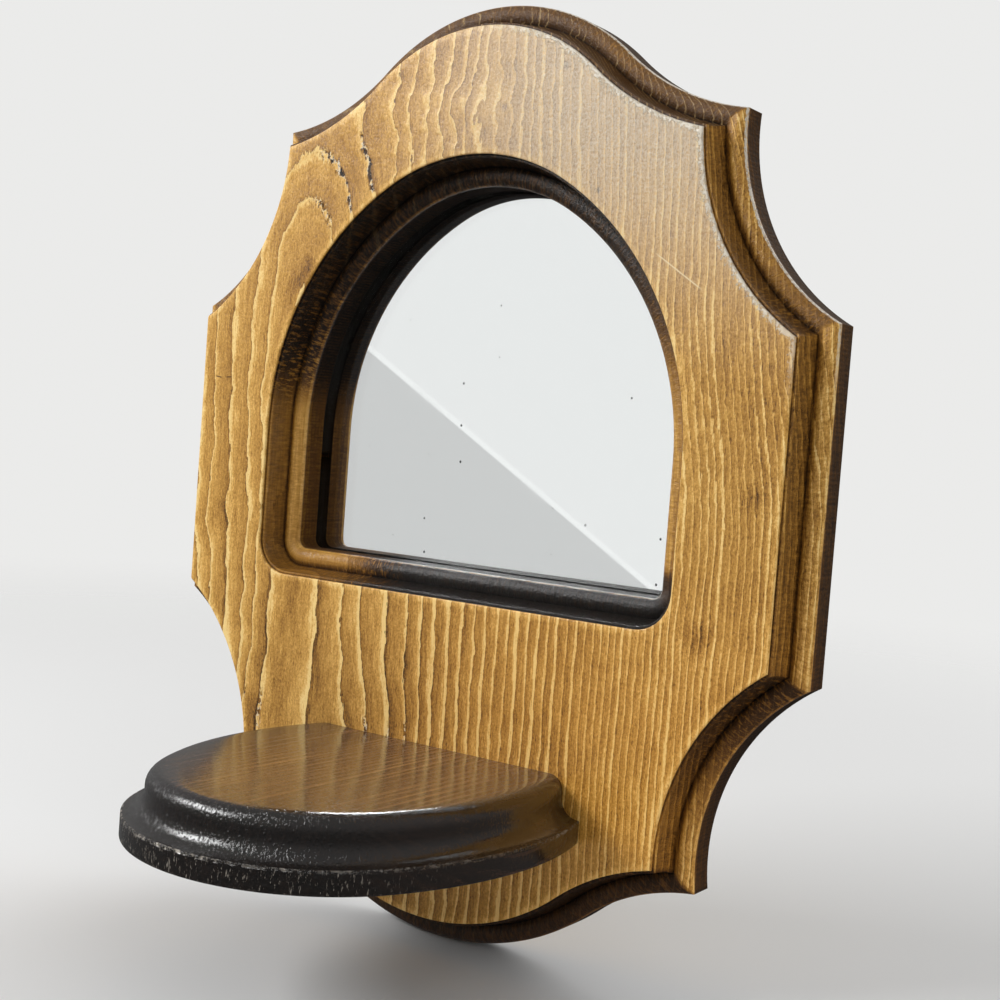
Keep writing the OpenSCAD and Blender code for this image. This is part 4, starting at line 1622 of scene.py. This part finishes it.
@dataclass
class Hardware:
    """Clips, screws, hanger, nails and buffers behind the board."""

    rounding: float = 0.15
    moulded: float = 0.9
    sharp: float = 25.0

    @staticmethod
    def screw_places(node: str, beside: float) -> tuple[Pair, Pair]:
        """Places of the lowest and highest screw of a group on the right.

        Args:
            node: The group's name in the frame.
            beside: Distance of its screws from the middle, in millimetres.

        Returns:
            Distance from the middle and height of both screws, in millimetres.
        """
        low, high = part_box(node)
        radius = high.x / MM - beside
        return (beside, low.z / MM + radius), (beside, high.z / MM - radius)

    def softened_copy(self, node: str, name: str, finish: bpy.types.Material,
                      rounding: float) -> bpy.types.Object:
        """Replaces a bent, stamped or moulded part by a copy with broken edges.

        Args:
            node: The part's name in the frame.
            name: Name of the new piece.
            finish: Its material.
            rounding: How far its edges are rounded back, in millimetres.

        Returns:
            The piece.
        """
        mesh = start_mesh()
        mesh.from_mesh(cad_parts[node].data)
        bmesh.ops.remove_doubles(mesh, verts=mesh.verts, dist=1e-6)
        bmesh.ops.dissolve_limit(mesh, angle_limit=math.radians(1), verts=mesh.verts, edges=mesh.edges)
        edges = [edge for edge in mesh.edges if edge.calc_face_angle_signed(0.0) > math.radians(self.sharp)]
        bmesh.ops.bevel(mesh, geom=edges, affect="EDGES", offset=rounding * MM, segments=3, profile=0.5,
                        material=-1, clamp_overlap=True)
        piece = piece_from(mesh, name, Matrix.Identity(4), 30.0)
        finish_with(piece, finish)
        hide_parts(node)
        return piece

    def build(self, brass: bpy.types.Material, zinc: bpy.types.Material,
              rubber: bpy.types.Material) -> list[bpy.types.Object]:
        """Builds and dresses all of the hardware.

        Args:
            brass: Material of the brass-plated parts.
            zinc: Material of the zinc-plated parts.
            rubber: Material of the buffers.

        Returns:
            The pieces.
        """
        made = []
        for node in sorted(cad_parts):
            if node.startswith("clip_") and node != "clip_screws" or node == "hanger":
                strip = self.softened_copy(node, f"{node}_strip", brass, self.rounding)
                made.append(strip)
            if node.startswith("buffer_"):
                made.append(self.softened_copy(node, f"{node}_pad", rubber, self.moulded))
        for node, finish in {"clip_screws": brass, "shelf_screws": zinc, "hanger_nails": zinc}.items():
            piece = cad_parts[node]
            finish_with(piece, finish)
            made.append(piece)
        return made


# ---- Studio ----


def direction(azimuth: float, elevation: float) -> Vector:
    """Way out from the object, by degrees to the right of straight in front and above the horizon."""
    side, rise = math.radians(azimuth), math.radians(elevation)
    return Vector((math.sin(side) * math.cos(rise), -math.cos(side) * math.cos(rise), math.sin(rise)))


@dataclass(frozen=True)
class Lamp:
    """Large soft lamp that looks at the object."""

    name: str
    azimuth: float  # degrees to the right of straight in front
    elevation: float  # degrees above the horizon
    distance: float  # metres from the object
    size: Pair  # width and height in metres
    power: float  # watts
    in_gloss: bool = True  # whether glossy finishes show it
    target: Triple = (0.0, 0.0, -0.12)

    def build(self) -> bpy.types.Object:
        """Adds the lamp."""
        data = bpy.data.lights.new(self.name, "AREA")
        data.shape = "RECTANGLE"
        data.size, data.size_y = self.size
        data.energy = self.power
        lamp = placed(self.name, data)
        way = direction(self.azimuth, self.elevation)
        lamp.location = Vector(self.target) + way * self.distance
        lamp.rotation_mode = "QUATERNION"
        lamp.rotation_quaternion = way.to_track_quat("Z", "Y")
        lamp.visible_glossy = self.in_gloss
        return lamp


@dataclass
class Studio:
    """Pale floor, soft light and the room that the glass reflects."""

    tone: Colour = (0.83, 0.83, 0.82)
    ambient: float = 0.34
    floor_tone: Colour = (0.8, 0.8, 0.795)
    floor_radius: float = 1.1
    floor_fade: float = 0.3
    floor_steps: int = 96
    floor_drop: float = 0.2
    wall_edge: Triple = (0.475, -0.348, 0.808)
    seam_half: float = 0.002
    crease: Pair = (0.0025, 0.001)
    mirrored_low: float = 0.68
    mirrored_high: float = 0.92
    gloss_rise: Pair = (-0.6, 0.8)
    gloss_low: float = 0.08
    gloss_high: float = 0.34
    lamps: tuple[Lamp, ...] = (
        Lamp("window_left", -46.0, 30.0, 1.3, (0.85, 0.36), 12.5),
        Lamp("fill_right", 66.0, 30.0, 1.6, (1.2, 1.2), 5.0, in_gloss=False),
        Lamp("back_light", 170.0, 40.0, 1.6, (1.2, 1.2), 10.0),
    )

    def floor(self, low: Vector) -> bpy.types.Object:
        """Round pale floor just under the object, which fades into the room."""
        mesh = bmesh.new()
        bmesh.ops.create_circle(mesh, cap_ends=True, segments=self.floor_steps, radius=self.floor_radius)
        bmesh.ops.translate(mesh, vec=(0, 0, low.z - self.floor_drop * MM), verts=mesh.verts)
        piece = placed("floor", kept(mesh, "floor"))
        piece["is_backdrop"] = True
        mix = Recipe("floor_paint")
        away = mix.vector("LENGTH", mix.vector("SCALE", mix.place, MM), (0, 0, 0))
        mix.surface(base_color=self.floor_tone, roughness=0.9)
        clear = mix.nodes.new("ShaderNodeBsdfTransparent")
        blend = mix.nodes.new("ShaderNodeMixShader")
        mix.feed(blend.inputs[0], mix.remap(away, self.floor_fade, self.floor_radius))
        mix.links.new(mix.shader.outputs[0], blend.inputs[1])
        mix.links.new(clear.outputs[0], blend.inputs[2])
        mix.links.new(blend.outputs[0], mix.output.inputs["Surface"])
        finish_with(piece, mix.material)
        piece.visible_glossy = False
        piece.visible_transmission = False
        return piece

    def room(self) -> None:
        """World light, the plain room behind the object, and the room that gloss and glass show."""
        world = bpy.data.worlds.new("room")
        bpy.context.scene.world = world
        world.use_nodes = True
        mix = Tree(world.node_tree)
        path = mix.nodes.new("ShaderNodeLightPath").outputs
        way = mix.nodes.new("ShaderNodeTexCoord").outputs["Generated"]
        side = mix.vector("DOT_PRODUCT", way, self.wall_edge)
        level = mix.remap(side, -self.seam_half, self.seam_half, self.mirrored_low, self.mirrored_high)
        crease = mix.remap(mix.maths("ABSOLUTE", side), *self.crease)
        mirrored = mix.between(crease, level, 1.0)
        gloss = mix.remap(mix.split(way)[2], *self.gloss_rise, self.gloss_low, self.gloss_high)
        level = mix.between(path["Is Glossy Ray"], self.ambient, gloss)
        level = mix.between(path["Is Transmission Ray"], level, mirrored)
        colour = mix.mix(path["Is Camera Ray"], mix.joined(level, level, level), self.tone)
        output = mix.nodes.new("ShaderNodeOutputWorld")
        light = mix.nodes.new("ShaderNodeBackground")
        mix.feed(light.inputs["Color"], colour)
        mix.links.new(light.outputs[0], output.inputs["Surface"])

    def build(self, low: Vector) -> None:
        """Sets up the floor, the room and the lamps."""
        self.floor(low)
        self.room()
        for lamp in self.lamps:
            lamp.build()


@dataclass
class Viewpoint:
    """The camera, at the place that the photograph was taken from."""

    lens: float = 55.375
    sensor_wide: float = 36.0
    clip_start: float = 0.01
    azimuth: float = 34.109
    elevation: float = 2.983
    roll: float = 4.314
    distance: float = 445.7
    target: Triple = (17.66, -26.0, -122.0)

    def build(self) -> bpy.types.Object:
        """Adds the camera and makes it the scene's."""
        data = bpy.data.cameras.new("viewpoint")
        data.lens = self.lens
        data.sensor_width = self.sensor_wide
        data.clip_start = self.clip_start
        camera = placed("viewpoint", data)
        back = direction(self.azimuth, self.elevation)
        camera.location = (Vector(self.target) + back * self.distance) * MM
        upright = (-back).to_track_quat("-Z", "Y").to_matrix()
        rolled = upright @ Matrix.Rotation(math.radians(self.roll), 3, "Z")
        camera.rotation_mode = "QUATERNION"
        camera.rotation_quaternion = rolled.to_quaternion()
        bpy.context.scene.camera = camera
        return camera


def main() -> None:
    """Builds every piece in order and reports it."""
    logging.basicConfig(level=logging.INFO, format="%(message)s")
    cad_box = [list(corner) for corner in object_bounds()]
    low = Vector(cad_box[0])
    Viewpoint().build()
    board = Backboard(RoutedEdge())
    made = [board.build(StainedPine().build())]
    made.append(Shelf().build(DarkPine().build(), board))
    made += MirrorPane().build(ClearGlass().build(), Silvering().build(), GreyCard().build())
    clip_screws = Hardware.screw_places("clip_screws", 42.0)
    shelf_screws = Hardware.screw_places("shelf_screws", 25.0)
    brass = PlatedSteel("brass_plate", plate=(0.72, 0.52, 0.22), dull=(0.46, 0.34, 0.16),
                        crosses=clip_screws).build()
    zinc = PlatedSteel("zinc_plate", plate=(0.62, 0.63, 0.64), dull=(0.42, 0.43, 0.45),
                       crosses=shelf_screws).build()
    made += Hardware().build(brass, zinc, Rubber().build())
    for piece in made:
        LOG.info("%s: %d faces", piece.name, len(piece.data.polygons))
    Studio().build(low)
    bpy.context.scene.view_settings.view_transform = "Standard"


if __name__ == "__main__":
    main()
